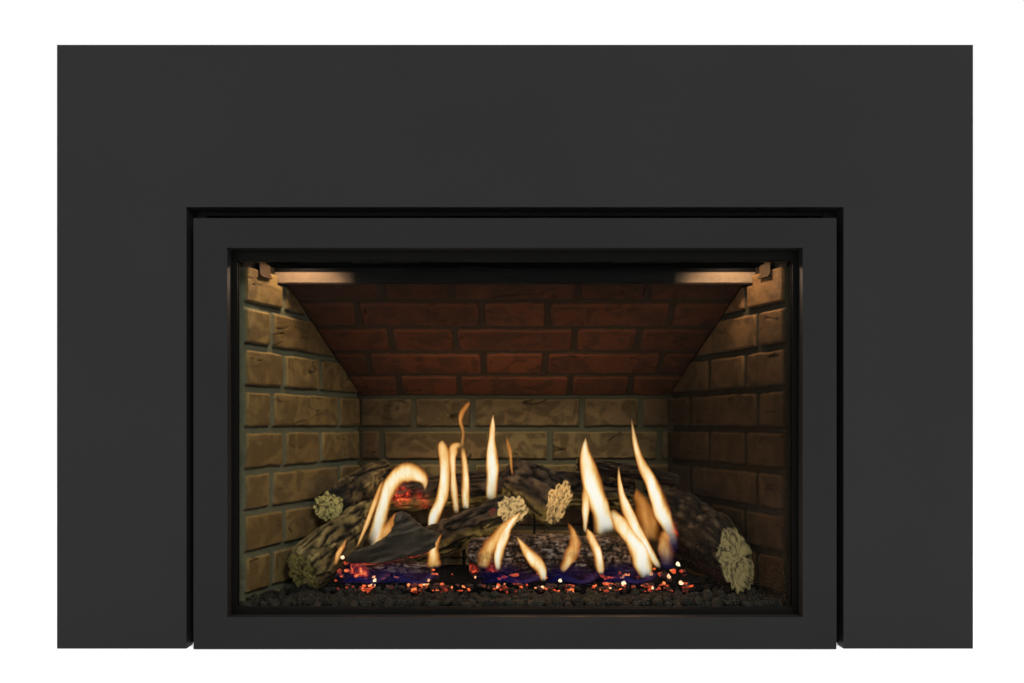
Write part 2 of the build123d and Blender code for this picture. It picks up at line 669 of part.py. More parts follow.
with BuildPart() as brick_panel_upper:
    with BuildSketch(upper_face.offset(-LINER_THICK)):
        foot = upper_half(0) + UPPER_OVERHANG
        head = upper_half(UPPER_LENGTH) + UPPER_OVERHANG
        Polygon((-foot, 0), (foot, 0), (head, UPPER_LENGTH), (-head, UPPER_LENGTH), align=None)
    extrude(amount=LINER_THICK)
    with BuildSketch(upper_face):
        upper_rng = random.Random(14)
        spread = upper_half(1) - upper_half(0)
        upper_edge = LINER_BACK_HALF - 2 * BRICK_INSET
        for course in range(5):
            flemish_course(UPPER_CENTRES[course % 2], course * COURSE + JOINT / 2, upper_rng,
                           ((1, -spread, upper_edge), (-1, -spread, upper_edge),
                            (0, 1, UPPER_LENGTH - BRICK_INSET)))
    extrude(amount=BRICK_PROUD, taper=BRICK_EDGE)
brick_panel_upper.part.label = "brick_panel_upper"
export_step(brick_panel_upper.part, "parts/brick_panel_upper.step")

BAR_HALF = 331.0
BAR_LOW = 467.0
BAR_HIGH = 482.0
BAR_SHEET = 2.0
BAR_STEP = 4.0
BAR_FOOT = 14.0

with BuildPart() as baffle_retainer:
    with BuildSketch(side_plane(-BAR_HALF)):
        rect(BAR_FRONT, BAR_FRONT + BAR_SHEET, BAR_LOW, BAR_HIGH)
        rect(BAR_FRONT, BAR_FRONT + BAR_FOOT, BAR_LOW, BAR_LOW + BAR_SHEET)
        rect(BAR_FRONT, BAR_FRONT + BAR_STEP + BAR_SHEET, BAR_HIGH - BAR_SHEET, BAR_HIGH)
        rect(BAR_FRONT + BAR_STEP, BAR_FRONT + BAR_STEP + BAR_SHEET, BAR_HIGH - BAR_SHEET, 487)
    extrude(amount=2 * BAR_HALF)
baffle_retainer.part.label = "baffle_retainer"
export_step(baffle_retainer.part, "parts/baffle_retainer.step")

PANEL_CLIP_START = 28.0          # distance of the clip from the side panel's front edge
PANEL_CLIP_WIDTH = 13.0
PANEL_CLIP_LOW = 467.0
PANEL_CLIP_SHEET = 1.5

with BuildPart() as panel_clips:
    clip_run = LINER_BACK - LINER_FRONT
    clip_lean = LINER_FRONT_HALF - LINER_BACK_HALF
    clip_face = Plane(origin=place(-LINER_FRONT_HALF, LINER_FRONT, 0),
                      x_dir=(clip_lean, clip_run, 0), z_dir=(clip_run, -clip_lean, 0))
    with BuildSketch(clip_face.offset(BRICK_PROUD + 0.5)):
        rect(PANEL_CLIP_START, PANEL_CLIP_START + PANEL_CLIP_WIDTH, PANEL_CLIP_LOW, BOX_CEILING)
    extrude(amount=PANEL_CLIP_SHEET)
    mirror(about=Plane.YZ)
panel_clips.part.label = "panel_clips"
export_step(panel_clips.part, "parts/panel_clips.step")

# ------------------------------------------------------------- burner, pilot and gas line
BURNER_SHEET = 1.5
TUBE_AT = (-120.0, 51.0)         # X and height of the burner tube
TUBE_RADIUS = 8.0
TUBE_BACK = 300.0

SLOT_COUNT = 21
SLOT_PITCH = 22.0

with BuildPart() as burner_pan:
    with BuildSketch(level_plane(BOX_FLOOR)):
        rect(-BURNER_HALF, BURNER_HALF, BURNER_FRONT, BURNER_BACK)
    extrude(amount=BURNER_TOP - BOX_FLOOR)
    with BuildSketch(level_plane(BOX_FLOOR + BURNER_SHEET)):
        rect(-BURNER_HALF + BURNER_SHEET, BURNER_HALF - BURNER_SHEET,
             BURNER_FRONT + BURNER_SHEET, BURNER_BACK - BURNER_SHEET)
    extrude(amount=BURNER_TOP - BOX_FLOOR - 2 * BURNER_SHEET, mode=Mode.SUBTRACT)
    with BuildSketch(level_plane(BURNER_TOP - BURNER_SHEET)):
        with Locations((0, BURNER_FRONT + 14), (0, BURNER_BACK - 30)):
            with GridLocations(SLOT_PITCH, 1, SLOT_COUNT, 1):
                Rectangle(2.5, 12)
    extrude(amount=BURNER_SHEET, mode=Mode.SUBTRACT)
    with BuildSketch(front_plane(BURNER_BACK)):
        with Locations(TUBE_AT):
            Circle(TUBE_RADIUS + 0.3)
    extrude(amount=BURNER_SHEET, mode=Mode.SUBTRACT)
burner_pan.part.label = "burner_pan"
export_step(burner_pan.part, "parts/burner_pan.step")

TUBE_WALL = 1.2
TUBE_FRONT = BURNER_BACK - 20
SHUTTER_FRONT = 274.0
SHUTTER_BACK = 290.0

with BuildPart() as burner_tube:
    with BuildSketch(side_plane(TUBE_AT[0])):
        rect(TUBE_FRONT, TUBE_BACK, TUBE_AT[1] + TUBE_RADIUS - TUBE_WALL, TUBE_AT[1] + TUBE_RADIUS)
        rect(BURNER_BACK, BURNER_BACK + 1.5, TUBE_AT[1] + TUBE_RADIUS, TUBE_AT[1] + 10.8)
    revolve(axis=Axis(place(TUBE_AT[0], 0, TUBE_AT[1]), (0, 1, 0)))
    with BuildSketch(level_plane(TUBE_AT[1] - 3)):
        rect(TUBE_AT[0] - 12, TUBE_AT[0] + 12, SHUTTER_FRONT + 3, SHUTTER_BACK - 3)
    extrude(amount=6, mode=Mode.SUBTRACT)
burner_tube.part.label = "burner_tube"
export_step(burner_tube.part, "parts/burner_tube.step")

with BuildPart() as air_shutter:
    with BuildSketch(front_plane(SHUTTER_BACK)):
        with Locations(TUBE_AT):
            Circle(TUBE_RADIUS + 1.8)
            Circle(TUBE_RADIUS + 0.4, mode=Mode.SUBTRACT)
    extrude(amount=SHUTTER_BACK - SHUTTER_FRONT)
    with BuildSketch(level_plane(TUBE_AT[1] - 3)):
        rect(TUBE_AT[0] - 12, TUBE_AT[0] + 12, SHUTTER_FRONT + 3, SHUTTER_BACK - 3)
    extrude(amount=6, mode=Mode.SUBTRACT)
    with BuildSketch(front_plane(SHUTTER_BACK)):
        rect(TUBE_AT[0] - 2.5, TUBE_AT[0] + 2.5, TUBE_AT[1] + TUBE_RADIUS + 1, TUBE_AT[1] + 24)
    extrude(amount=1.5)
air_shutter.part.label = "air_shutter"
export_step(air_shutter.part, "parts/air_shutter.step")

VALVE_LEFT = -CASING_HALF + CASING_SHEET
VALVE_RIGHT = -324.0
VALVE_FRONT = 205.0
VALVE_BACK = 285.0
VALVE_LOW = 72.0
VALVE_HIGH = 148.0
LINE_RADIUS = 5.0
LINE_X = -346.0
LINE_LOW = 20.0
OUTLET_HEIGHT = 100.0
BEND = 14.0
KNOB_AT = (-352.0, 200.0, 112.0)
KNOB_RADIUS = 11.0


def rounded(left, right, low, high, radius):
    """A rectangle with rounded corners between two pairs of sketch coordinates."""
    with Locations(((left + right) / 2, (low + high) / 2)):
        RectangleRounded(right - left, high - low, radius)


with BuildPart() as gas_valve:
    with BuildSketch(side_plane(VALVE_LEFT)):
        rect(VALVE_FRONT - 6, VALVE_BACK + 3, VALVE_LOW - 4, VALVE_HIGH + 8)
    extrude(amount=1.5)
    with BuildSketch(side_plane(VALVE_LEFT)):
        rounded(VALVE_FRONT, VALVE_BACK, VALVE_LOW, VALVE_HIGH, 7)
    extrude(amount=VALVE_RIGHT - VALVE_LEFT)
    with BuildSketch(level_plane(VALVE_HIGH)):
        with Locations((-350, 228), (-350, 262)):
            Circle(14)
    extrude(amount=16, taper=4)
    with BuildSketch(front_plane(VALVE_FRONT)):
        with Locations((KNOB_AT[0], KNOB_AT[2])):
            Circle(13)
    extrude(amount=4)
    with BuildSketch(level_plane(GAS_HEIGHT - 10)):
        rect(-372, -350, GAS_DEPTH - 11, GAS_DEPTH + 11)
    extrude(amount=VALVE_LOW - GAS_HEIGHT + 10)
    with BuildSketch(side_plane(-381)):
        with Locations((GAS_DEPTH, GAS_HEIGHT)):
            Circle(9)
            Circle(6, mode=Mode.SUBTRACT)
    extrude(amount=9)
    with BuildSketch(front_plane(VALVE_BACK + 6)):
        with Locations((LINE_X, OUTLET_HEIGHT)):
            Circle(8)
    extrude(amount=6)
    with BuildSketch(front_plane(VALVE_BACK + 6)):
        with Locations((LINE_X, OUTLET_HEIGHT)):
            Circle(LINE_RADIUS)
    extrude(amount=12, mode=Mode.SUBTRACT)
gas_valve.part.label = "gas_valve"
export_step(gas_valve.part, "parts/gas_valve.step")

with BuildPart() as valve_knob:
    with BuildSketch(front_plane(KNOB_AT[1])):
        with Locations((KNOB_AT[0], KNOB_AT[2])):
            RegularPolygon(radius=KNOB_RADIUS, side_count=16)
    extrude(amount=14, taper=3)
    with BuildSketch(front_plane(KNOB_AT[1] - 14)):
        rect(KNOB_AT[0] - 1.5, KNOB_AT[0] + 1.5, KNOB_AT[2], KNOB_AT[2] + KNOB_RADIUS - 2)
    extrude(amount=1.2)
valve_knob.part.label = "valve_knob"
export_step(valve_knob.part, "parts/valve_knob.step")

LINE_ROUTE = [place(LINE_X, VALVE_BACK, OUTLET_HEIGHT),
              place(LINE_X, ORIFICE_AT[1], OUTLET_HEIGHT),
              place(LINE_X, ORIFICE_AT[1], LINE_LOW),
              place(ORIFICE_AT[0], ORIFICE_AT[1], LINE_LOW),
              place(ORIFICE_AT[0], ORIFICE_AT[1], TUBE_AT[1])]

with BuildPart() as gas_line:
    with BuildLine() as line_path:
        FilletPolyline(*LINE_ROUTE, radius=BEND)
    with BuildSketch(front_plane(VALVE_BACK)):
        with Locations((LINE_X, OUTLET_HEIGHT)):
            Circle(LINE_RADIUS - 0.2)
    sweep(path=line_path.line)
    with BuildSketch(level_plane(TUBE_AT[1] - 7)):
        with Locations(ORIFICE_AT):
            Rectangle(14, 12)
    extrude(amount=14)
    with BuildSketch(front_plane(ORIFICE_AT[1])):
        with Locations(TUBE_AT):
            RegularPolygon(radius=5, side_count=6)
    extrude(amount=10)
    with BuildSketch(front_plane(ORIFICE_AT[1] - 9)):
        with Locations(TUBE_AT):
            Circle(3)
    extrude(amount=8)
gas_line.part.label = "gas_line"
export_step(gas_line.part, "parts/gas_line.step")

PILOT_X = 50.0
PILOT_DEPTH = 246.0

with BuildPart() as pilot_assembly:
    with BuildSketch(level_plane(BOX_FLOOR)):
        with Locations((PILOT_X, PILOT_DEPTH)):
            Rectangle(44, 14)
    extrude(amount=2)
    with BuildSketch(side_plane(PILOT_X - 22)):
        rect(PILOT_DEPTH + 5.5, PILOT_DEPTH + 7, BOX_FLOOR, BOX_FLOOR + 26)
    extrude(amount=44)
    for offset, radius, high in ((-12, 2.2, 82), (0, 5, 74), (12, 3, 80)):
        with BuildSketch(level_plane(BOX_FLOOR)):
            with Locations((PILOT_X + offset, PILOT_DEPTH)):
                Circle(radius)
        extrude(amount=high - BOX_FLOOR)
    with BuildSketch(level_plane(74)):
        with Locations((PILOT_X, PILOT_DEPTH)):
            Circle(8)
    extrude(amount=3, taper=30)
pilot_assembly.part.label = "pilot_assembly"
export_step(pilot_assembly.part, "parts/pilot_assembly.step")

# ------------------------------------------------------------- log set
# Each log: name, seed, then rings of X, depth, height and radius along its centre line.
LOG_SIDES = 12
LOG_SET = (
    ("log_left_front", 21, ((-287, 97, 82, 27), (-244, 150, 110, 27), (-203, 203, 138, 22))),
    ("log_left_rear", 22, ((-268, 178, 157, 24), (-230, 214, 177, 22), (-192, 250, 195, 20))),
    ("log_rear", 23, ((-140, 280, 167, 27), (20, 277, 170, 29), (185, 279, 166, 27))),
    ("log_right", 24, ((286, 90, 99, 36), (252, 152, 120, 35), (222, 212, 143, 31))),
    ("log_front", 25, ((-62, 122, 91, 24), (60, 121, 93, 27), (182, 126, 89, 23))),
    ("log_centre", 26, ((-145, 212, 86, 20), (-74, 174, 121, 21), (-4, 136, 155, 23))),
    ("log_centre_rear", 27, ((64, 163, 163, 26), (28, 190, 168, 24), (-8, 217, 173, 21))),
    ("log_branch", 28, ((93, 232, 214, 10), (168, 236, 204, 11), (245, 238, 188, 10))),
)
BARK_RIDGE = 0.09        # depth of the lengthwise ridges, as a share of the radius
BARK_ROUGH = 0.04


def log_rings(rings):
    """Rings at the ends, the middle and halfway between them."""
    result = [rings[0]]
    for ring, following in zip(rings, rings[1:]):
        result.append(tuple((a + b) / 2 for a, b in zip(ring, following)))
        result.append(following)
    return result


def cast_log(rings, seed):
    """A cast log with lengthwise ridges and two sawn ends."""
    rng = random.Random(seed)
    ridges = [rng.uniform(-BARK_RIDGE, BARK_RIDGE) for _ in range(LOG_SIDES)]
    centres = [Vector(*place(x, depth, z)) for x, depth, z, _ in rings]
    along = (centres[-1] - centres[0]).normalized()
    across = along.cross(Vector(0, 0, 1)).normalized()
    with BuildPart() as body:
        for centre, ring in zip(centres, rings):
            corners = []
            for side, ridge in enumerate(ridges):
                angle = math.tau * side / LOG_SIDES
                radius = ring[3] * (1 + ridge + rng.uniform(-BARK_ROUGH, BARK_ROUGH))
                corners.append((radius * math.cos(angle), radius * math.sin(angle)))
            with BuildSketch(Plane(origin=centre, x_dir=across, z_dir=along)):
                Polygon(*corners, align=None)
        loft(ruled=True)
    return body


for log_name, log_seed, ring_set in LOG_SET:
    cast = cast_log(log_rings(ring_set), log_seed)
    cast.part.label = log_name
    export_step(cast.part, f"parts/{log_name}.step")

CHUNK_OUTLINE = ((-227, 95), (-196, 110), (-172, 122), (-161, 152), (-146, 154), (-122, 142),
                 (-112, 126), (-114, 105), (-126, 94), (-200, 91.5))
CHUNK_DEPTH = 106.0
CHUNK_HALF = 12.0
EMBER_RINGS = ((-222, 113, 76, 11), (-168, 112, 76, 12), (-114, 113, 75, 11))

with BuildPart() as charred_chunks:
    with BuildSketch(front_plane(CHUNK_DEPTH)):
        Polygon(*CHUNK_OUTLINE, align=None)
    extrude(amount=CHUNK_HALF, both=True, taper=10)
    add(cast_log(log_rings(EMBER_RINGS), 29).part)
charred_chunks.part.label = "charred_chunks"
export_step(charred_chunks.part, "parts/charred_chunks.step")

RACK_SHEET = 3.0
# X of each rib, its two depths, its foot, its height and the centre and radius of its cradle
RACK_RIBS = ((-80.0, 258.0, 300.0, BOX_FLOOR, 160.0, (279.0, 168.5), 32.0),
             (120.0, 258.0, 300.0, BOX_FLOOR, 160.0, (278.0, 168.0), 32.0),
             (28.0, 172.0, 208.0, BURNER_TOP, 154.0, (190.0, 168.0), 27.5),
             (-246.0, 201.0, 214.0, BURNER_TOP, 158.0, (199.0, 169.0), 32.0))

with BuildPart() as log_rack:
    for x, front, back, foot_height, top_height, cradle, cradle_radius in RACK_RIBS:
        with BuildSketch(side_plane(x - RACK_SHEET / 2)):
            rect(front, back, foot_height, top_height)
            with Locations(cradle):
                Circle(cradle_radius, mode=Mode.SUBTRACT)
        extrude(amount=RACK_SHEET)
    with BuildSketch(level_plane(BOX_FLOOR)):
        rect(RACK_RIBS[0][0], RACK_RIBS[1][0], 282, 298)
    extrude(amount=RACK_SHEET)
log_rack.part.label = "log_rack"
export_step(log_rack.part, "parts/log_rack.step")

ROCK_SIDES = 5
ROCK_RADIUS = (6.4, 8.2)         # least and greatest
ROCK_PITCH = 19.5
ROCK_HEIGHT = 11.0
FRONT_ROWS = (40.5, 58.0, 75.5)
SIDE_ROWS = (102.0, 119.0, 136.0, 153.0)


def rock(x, depth, rng):
    """One lava rock seen from above: a crooked five-sided outline."""
    turn = rng.uniform(0, math.tau)
    corners = []
    for side in range(ROCK_SIDES):
        angle = turn + math.tau * side / ROCK_SIDES
        radius = rng.uniform(*ROCK_RADIUS)
        corners.append((x + radius * math.cos(angle), depth + radius * math.sin(angle)))
    Polygon(*corners, align=None)


with BuildPart() as lava_rocks:
    rock_rng = random.Random(30)
    for depth in FRONT_ROWS:
        reach = liner_half(max(depth, LINER_FRONT)) - 14
        count = int(reach / ROCK_PITCH)
        with BuildSketch(level_plane(BOX_FLOOR + rock_rng.uniform(0.5, 2.5))):
            for step in range(-count, count + 1):
                rock(step * ROCK_PITCH + rock_rng.uniform(-1.2, 1.2), depth, rock_rng)
        extrude(amount=ROCK_HEIGHT, taper=16)
    with BuildSketch(level_plane(BOX_FLOOR + 1)):
        for depth in SIDE_ROWS:
            for side in (-1, 1):
                rock(side * (BURNER_HALF + 13), depth, rock_rng)
                rock(side * (BURNER_HALF + 32), depth, rock_rng)
    extrude(amount=ROCK_HEIGHT, taper=16)
lava_rocks.part.label = "lava_rocks"
export_step(lava_rocks.part, "parts/lava_rocks.step")

# ------------------------------------------------------------- ignition module and controls
MODULE_LEFT = 328.0
MODULE_RIGHT = CASING_HALF - CASING_SHEET

with BuildPart() as ignition_module:
    with BuildSketch(side_plane(MODULE_LEFT)):
        rounded(212, 284, 62, 146, 4)
    extrude(amount=MODULE_RIGHT - MODULE_LEFT - 1.5)
    with BuildSketch(side_plane(MODULE_RIGHT - 1.5)):
        rect(206, 288, 54, 154)
    extrude(amount=1.5)
    with BuildSketch(front_plane(212)):
        for height in (80, 104, 128):
            rect(MODULE_LEFT + 12, MODULE_RIGHT - 12, height - 6, height + 6)
    extrude(amount=9)
ignition_module.part.label = "ignition_module"
export_step(ignition_module.part, "parts/ignition_module.step")

PLATE_FRONT = 30.0
PLATE_SHEET = 1.5
PLATE_LEFT = 246.0
PLATE_RIGHT = 354.0
PLATE_TOP = 22.0
CONTROL_HEIGHT = 12.0
SWITCH_X = 268.0
SWITCH_HALF = 8.0
FAN_X = 302.0
LAMP_X = 334.0
SPINDLE_RADIUS = 3.0
DIAL_RADIUS = 7.5

with BuildPart() as control_plate:
    with BuildSketch(front_plane(PLATE_FRONT + PLATE_SHEET)):
        rect(PLATE_LEFT, PLATE_RIGHT, PAN_SHEET, PLATE_TOP)
        rect(SWITCH_X - SWITCH_HALF - 1, SWITCH_X + SWITCH_HALF + 1,
             CONTROL_HEIGHT - 6.2, CONTROL_HEIGHT + 6.2, Mode.SUBTRACT)
        with Locations((FAN_X, CONTROL_HEIGHT), (LAMP_X, CONTROL_HEIGHT)):
            Circle(SPINDLE_RADIUS + 0.4, mode=Mode.SUBTRACT)
    extrude(amount=PLATE_SHEET)
    with BuildSketch(level_plane(PAN_SHEET)):
        rect(PLATE_LEFT, PLATE_RIGHT, PLATE_FRONT, PLATE_FRONT + 20)
    extrude(amount=PLATE_SHEET)
control_plate.part.label = "control_plate"
export_step(control_plate.part, "parts/control_plate.step")

with BuildPart() as flame_switch:
    with BuildSketch(side_plane(SWITCH_X - SWITCH_HALF)):
        Polygon((PLATE_FRONT + 4, CONTROL_HEIGHT - 4.6), (PLATE_FRONT + 4, CONTROL_HEIGHT + 4.6),
                (PLATE_FRONT - 3.4, CONTROL_HEIGHT + 4.8), (PLATE_FRONT - 1.4, CONTROL_HEIGHT),
                (PLATE_FRONT - 1.4, CONTROL_HEIGHT - 4.8), align=None)
    extrude(amount=2 * SWITCH_HALF)
flame_switch.part.label = "flame_switch"
export_step(flame_switch.part, "parts/flame_switch.step")


def dial(x):
    """A small control knob with a pointer rib and its spindle."""
    with BuildPart() as knob:
        with BuildSketch(front_plane(PLATE_FRONT - 0.5)):
            with Locations((x, CONTROL_HEIGHT)):
                RegularPolygon(radius=DIAL_RADIUS, side_count=20)
        extrude(amount=10, taper=4)
        with BuildSketch(front_plane(PLATE_FRONT - 10.5)):
            rect(x - 0.9, x + 0.9, CONTROL_HEIGHT - 1, CONTROL_HEIGHT + DIAL_RADIUS - 1.5)
        extrude(amount=1)
        with BuildSketch(front_plane(PLATE_FRONT + 9)):
            with Locations((x, CONTROL_HEIGHT)):
                Circle(SPINDLE_RADIUS)
        extrude(amount=9.5)
    return knob


fan_knob = dial(FAN_X)
fan_knob.part.label = "fan_knob"
export_step(fan_knob.part, "parts/fan_knob.step")

lamp_knob = dial(LAMP_X)
lamp_knob.part.label = "lamp_knob"
export_step(lamp_knob.part, "parts/lamp_knob.step")

# ------------------------------------------------------------- cross-flow blower
ROTOR_AT = (383.0, 40.0)         # depth and height of its axis
ROTOR_RADIUS = 22.5
ROTOR_HALF = 147.0
BLADE_COUNT = 24
BLADE_LENGTH = 6.5
BLADE_THICK = 0.9
BLADE_ANGLE = 32.0
SHAFT_RADIUS = 3.0
PLATE_X = 152.5
SCROLL_RADIUS = 28.0
SCROLL_SHEET = 1.2
MOTOR_X = 162.0
MOTOR_RADIUS = 28.0
MOTOR_LENGTH = 50.0

with BuildPart() as blower_rotor:
    with BuildSketch(side_plane(-ROTOR_HALF)):
        with Locations(ROTOR_AT):
            with PolarLocations(ROTOR_RADIUS - BLADE_LENGTH / 2 - 0.8, BLADE_COUNT):
                Rectangle(BLADE_LENGTH, BLADE_THICK, rotation=BLADE_ANGLE)
    extrude(amount=2 * ROTOR_HALF)
    for disc in (-ROTOR_HALF, -0.75, ROTOR_HALF - 1.5):
        with BuildSketch(side_plane(disc)):
            with Locations(ROTOR_AT):
                Circle(ROTOR_RADIUS)
        extrude(amount=1.5)
    for start, end in ((-158, -ROTOR_HALF), (ROTOR_HALF, MOTOR_X + 14)):
        with BuildSketch(side_plane(start)):
            with Locations(ROTOR_AT):
                Circle(SHAFT_RADIUS)
        extrude(amount=end - start)
blower_rotor.part.label = "blower_rotor"
export_step(blower_rotor.part, "parts/blower_rotor.step")

with BuildPart() as blower_housing:
    with BuildSketch(side_plane(-PLATE_X)):
        with Locations(ROTOR_AT):
            Circle(SCROLL_RADIUS)
            Circle(SCROLL_RADIUS - SCROLL_SHEET, mode=Mode.SUBTRACT)
        rect(ROTOR_AT[0] - 40, ROTOR_AT[0], ROTOR_AT[1] - 8, ROTOR_AT[1] + 40, Mode.SUBTRACT)
        rect(ROTOR_AT[0] - 40, ROTOR_AT[0] - 6, ROTOR_AT[1] - 40, ROTOR_AT[1], Mode.SUBTRACT)
        rect(352, ROTOR_AT[0], ROTOR_AT[1] + SCROLL_RADIUS - SCROLL_SHEET,
             ROTOR_AT[1] + SCROLL_RADIUS)
    extrude(amount=2 * PLATE_X)
    for start in (-PLATE_X - PLATE_SHEET, PLATE_X):
        with BuildSketch(side_plane(start)):
            rect(352, 413, PAN_SHEET, 70)
            with Locations(ROTOR_AT):
                Circle(SHAFT_RADIUS + 0.4, mode=Mode.SUBTRACT)
        extrude(amount=PLATE_SHEET)
blower_housing.part.label = "blower_housing"
export_step(blower_housing.part, "parts/blower_housing.step")

with BuildPart() as blower_motor:
    with BuildSketch(side_plane(MOTOR_X)):
        with Locations(ROTOR_AT):
            Circle(MOTOR_RADIUS)
    extrude(amount=MOTOR_LENGTH)
    with BuildSketch(side_plane(MOTOR_X + 12)):
        rect(ROTOR_AT[0] - 16, ROTOR_AT[0] + 16, PAN_SHEET, ROTOR_AT[1])
    extrude(amount=26)
    with BuildSketch(side_plane(MOTOR_X + MOTOR_LENGTH)):
        with Locations(ROTOR_AT):
            Circle(9)
    extrude(amount=5)
    with BuildSketch(side_plane(MOTOR_X)):
        with Locations(ROTOR_AT):
            Circle(SHAFT_RADIUS + 0.4)
    extrude(amount=16, mode=Mode.SUBTRACT)
blower_motor.part.label = "blower_motor"
export_step(blower_motor.part, "parts/blower_motor.step")

# ------------------------------------------------------------- vent, duct, flaps and lamps
VENT_WALL = 1.2
VENT_STEP = 550.0        # height where the collars widen to the pipe's size
NECK_RADIUS = VENT_RADIUS - 0.8
COLLAR_FLANGE = 44.0
DUCT_TOP = 530.0
DUCT_SHEET = 1.0
DUCT_LEFT = INTAKE_AT[0] - 45
DUCT_RIGHT = INTAKE_AT[0] + 45
DUCT_OUTLINE = ((349, 90), (376, 90), (376, DUCT_TOP), (288, DUCT_TOP), (288, 511.5), (349, 511.5))
DUCT_HOLLOW = ((350, 91), (375, 91), (375, DUCT_TOP - 1), (289, DUCT_TOP - 1), (289, 512.5),
               (350, 512.5))


def collar(centre, low):
    """A vent collar that stands on low: a flange, a narrow neck and the stretch a pipe fits."""
    with BuildPart() as tube:
        with BuildSketch(level_plane(low)):
            with Locations(centre):
                Circle(COLLAR_FLANGE)
        extrude(amount=PLATE_SHEET)
        with BuildSketch(level_plane(low)):
            with Locations(centre):
                Circle(NECK_RADIUS)
        extrude(amount=VENT_TOP - low)
        with BuildSketch(level_plane(VENT_STEP)):
            with Locations(centre):
                Circle(VENT_RADIUS)
        extrude(amount=VENT_TOP - VENT_STEP)
        with BuildSketch(level_plane(low)):
            with Locations(centre):
                Circle(NECK_RADIUS - VENT_WALL)
        extrude(amount=VENT_TOP - low, mode=Mode.SUBTRACT)
    return tube


exhaust_collar = collar(EXHAUST_AT, BOX_TOP)
exhaust_collar.part.label = "exhaust_collar"
export_step(exhaust_collar.part, "parts/exhaust_collar.step")

intake_collar = collar(INTAKE_AT, DUCT_TOP)
intake_collar.part.label = "intake_collar"
export_step(intake_collar.part, "parts/intake_collar.step")

with BuildPart() as intake_duct:
    with BuildSketch(side_plane(DUCT_LEFT)):
        Polygon(*DUCT_OUTLINE, align=None)
    extrude(amount=DUCT_RIGHT - DUCT_LEFT)
    with BuildSketch(side_plane(DUCT_LEFT + DUCT_SHEET)):
        Polygon(*DUCT_HOLLOW, align=None)
    extrude(amount=DUCT_RIGHT - DUCT_LEFT - 2 * DUCT_SHEET, mode=Mode.SUBTRACT)
    with BuildSketch(front_plane(BOX_BACK + BOX_SHEET + DUCT_SHEET)):
        rect(*AIR_SLOT)
    extrude(amount=DUCT_SHEET, mode=Mode.SUBTRACT)
    with BuildSketch(level_plane(DUCT_TOP - DUCT_SHEET)):
        with Locations(INTAKE_AT):
            Circle(NECK_RADIUS - VENT_WALL)
    extrude(amount=DUCT_SHEET, mode=Mode.SUBTRACT)
intake_duct.part.label = "intake_duct"
export_step(intake_duct.part, "parts/intake_duct.step")

FLAP_SHEET = 1.5
FLAP_GAP = 0.2
FLAP_HALF = 55.0


def relief_flap(x):
    """A loose lid over a relief opening, rolled round its hinge pin at the back."""
    low = BOX_TOP + FLAP_GAP
    with BuildPart() as flap:
        with BuildSketch(side_plane(x - FLAP_HALF)):
            rect(RELIEF_FRONT - 4, HINGE_DEPTH + 1, low, low + FLAP_SHEET)
            rect(HINGE_DEPTH - 1, HINGE_DEPTH + 1, low, HINGE_HEIGHT)
        extrude(amount=2 * FLAP_HALF)
        with BuildSketch(side_plane(x - EAR_X - 2)):
            with Locations((HINGE_DEPTH, HINGE_HEIGHT)):
                Circle(HINGE_PIN)
        extrude(amount=2 * EAR_X + 4)
    return flap


relief_flap_left = relief_flap(-FLAP_X)
relief_flap_left.part.label = "relief_flap_left"
export_step(relief_flap_left.part, "parts/relief_flap_left.step")

relief_flap_right = relief_flap(FLAP_X)
relief_flap_right.part.label = "relief_flap_right"
export_step(relief_flap_right.part, "parts/relief_flap_right.step")

LAMP_HIGH = 540.0
BULB_HEIGHT = 522.0
BULB_RADIUS = 6.0

with BuildPart() as lamp_housings:
    for side in (-1, 1):
        centre = side * LAMP_AT[0]
        with BuildSketch(level_plane(BOX_TOP)):
            rect(centre - 30, centre + 30, LAMP_AT[1] - 19, LAMP_AT[1] + 19)
        extrude(amount=LAMP_HIGH - BOX_TOP)
        with BuildSketch(level_plane(BOX_TOP)):
            rect(centre - 28.5, centre + 28.5, LAMP_AT[1] - 17.5, LAMP_AT[1] + 17.5)
        extrude(amount=LAMP_HIGH - BOX_TOP - 1.5, mode=Mode.SUBTRACT)
lamp_housings.part.label = "lamp_housings"
export_step(lamp_housings.part, "parts/lamp_housings.step")

with BuildPart() as lamp_bulbs:
    for side in (-1, 1):
        centre = side * LAMP_AT[0]
        with BuildSketch(side_plane(centre - 17)):
            with Locations((LAMP_AT[1], BULB_HEIGHT)):
                Circle(BULB_RADIUS)
        extrude(amount=34)
        with BuildSketch(side_plane(centre + 17)):
            rect(LAMP_AT[1] - 9, LAMP_AT[1] + 9, BULB_HEIGHT - 8, BULB_HEIGHT + 8)
        extrude(amount=11.5)
lamp_bulbs.part.label = "lamp_bulbs"
export_step(lamp_bulbs.part, "parts/lamp_bulbs.step")
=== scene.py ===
# %% [markdown]
# # Dressing a gas fireplace insert
#
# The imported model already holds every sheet, screw, knob and log at its real size. This
# lesson gives each of those pieces its finish, and it models in mesh what a machined solid
# can't show: moulded brick panels, cast logs with bark, lava rock, embers and the flames.
#
# The whole scene is in metres, in the frame's own axes: X to the right, Y to the back and Z
# up. Positions on the object are easier to think about as millimetres across, behind the
# surround's face, and up, so one small function turns those three numbers into a point.

# %% Load the fixed frame
import math
import random

import bmesh
import bpy
from mathutils import Matrix, Vector, noise


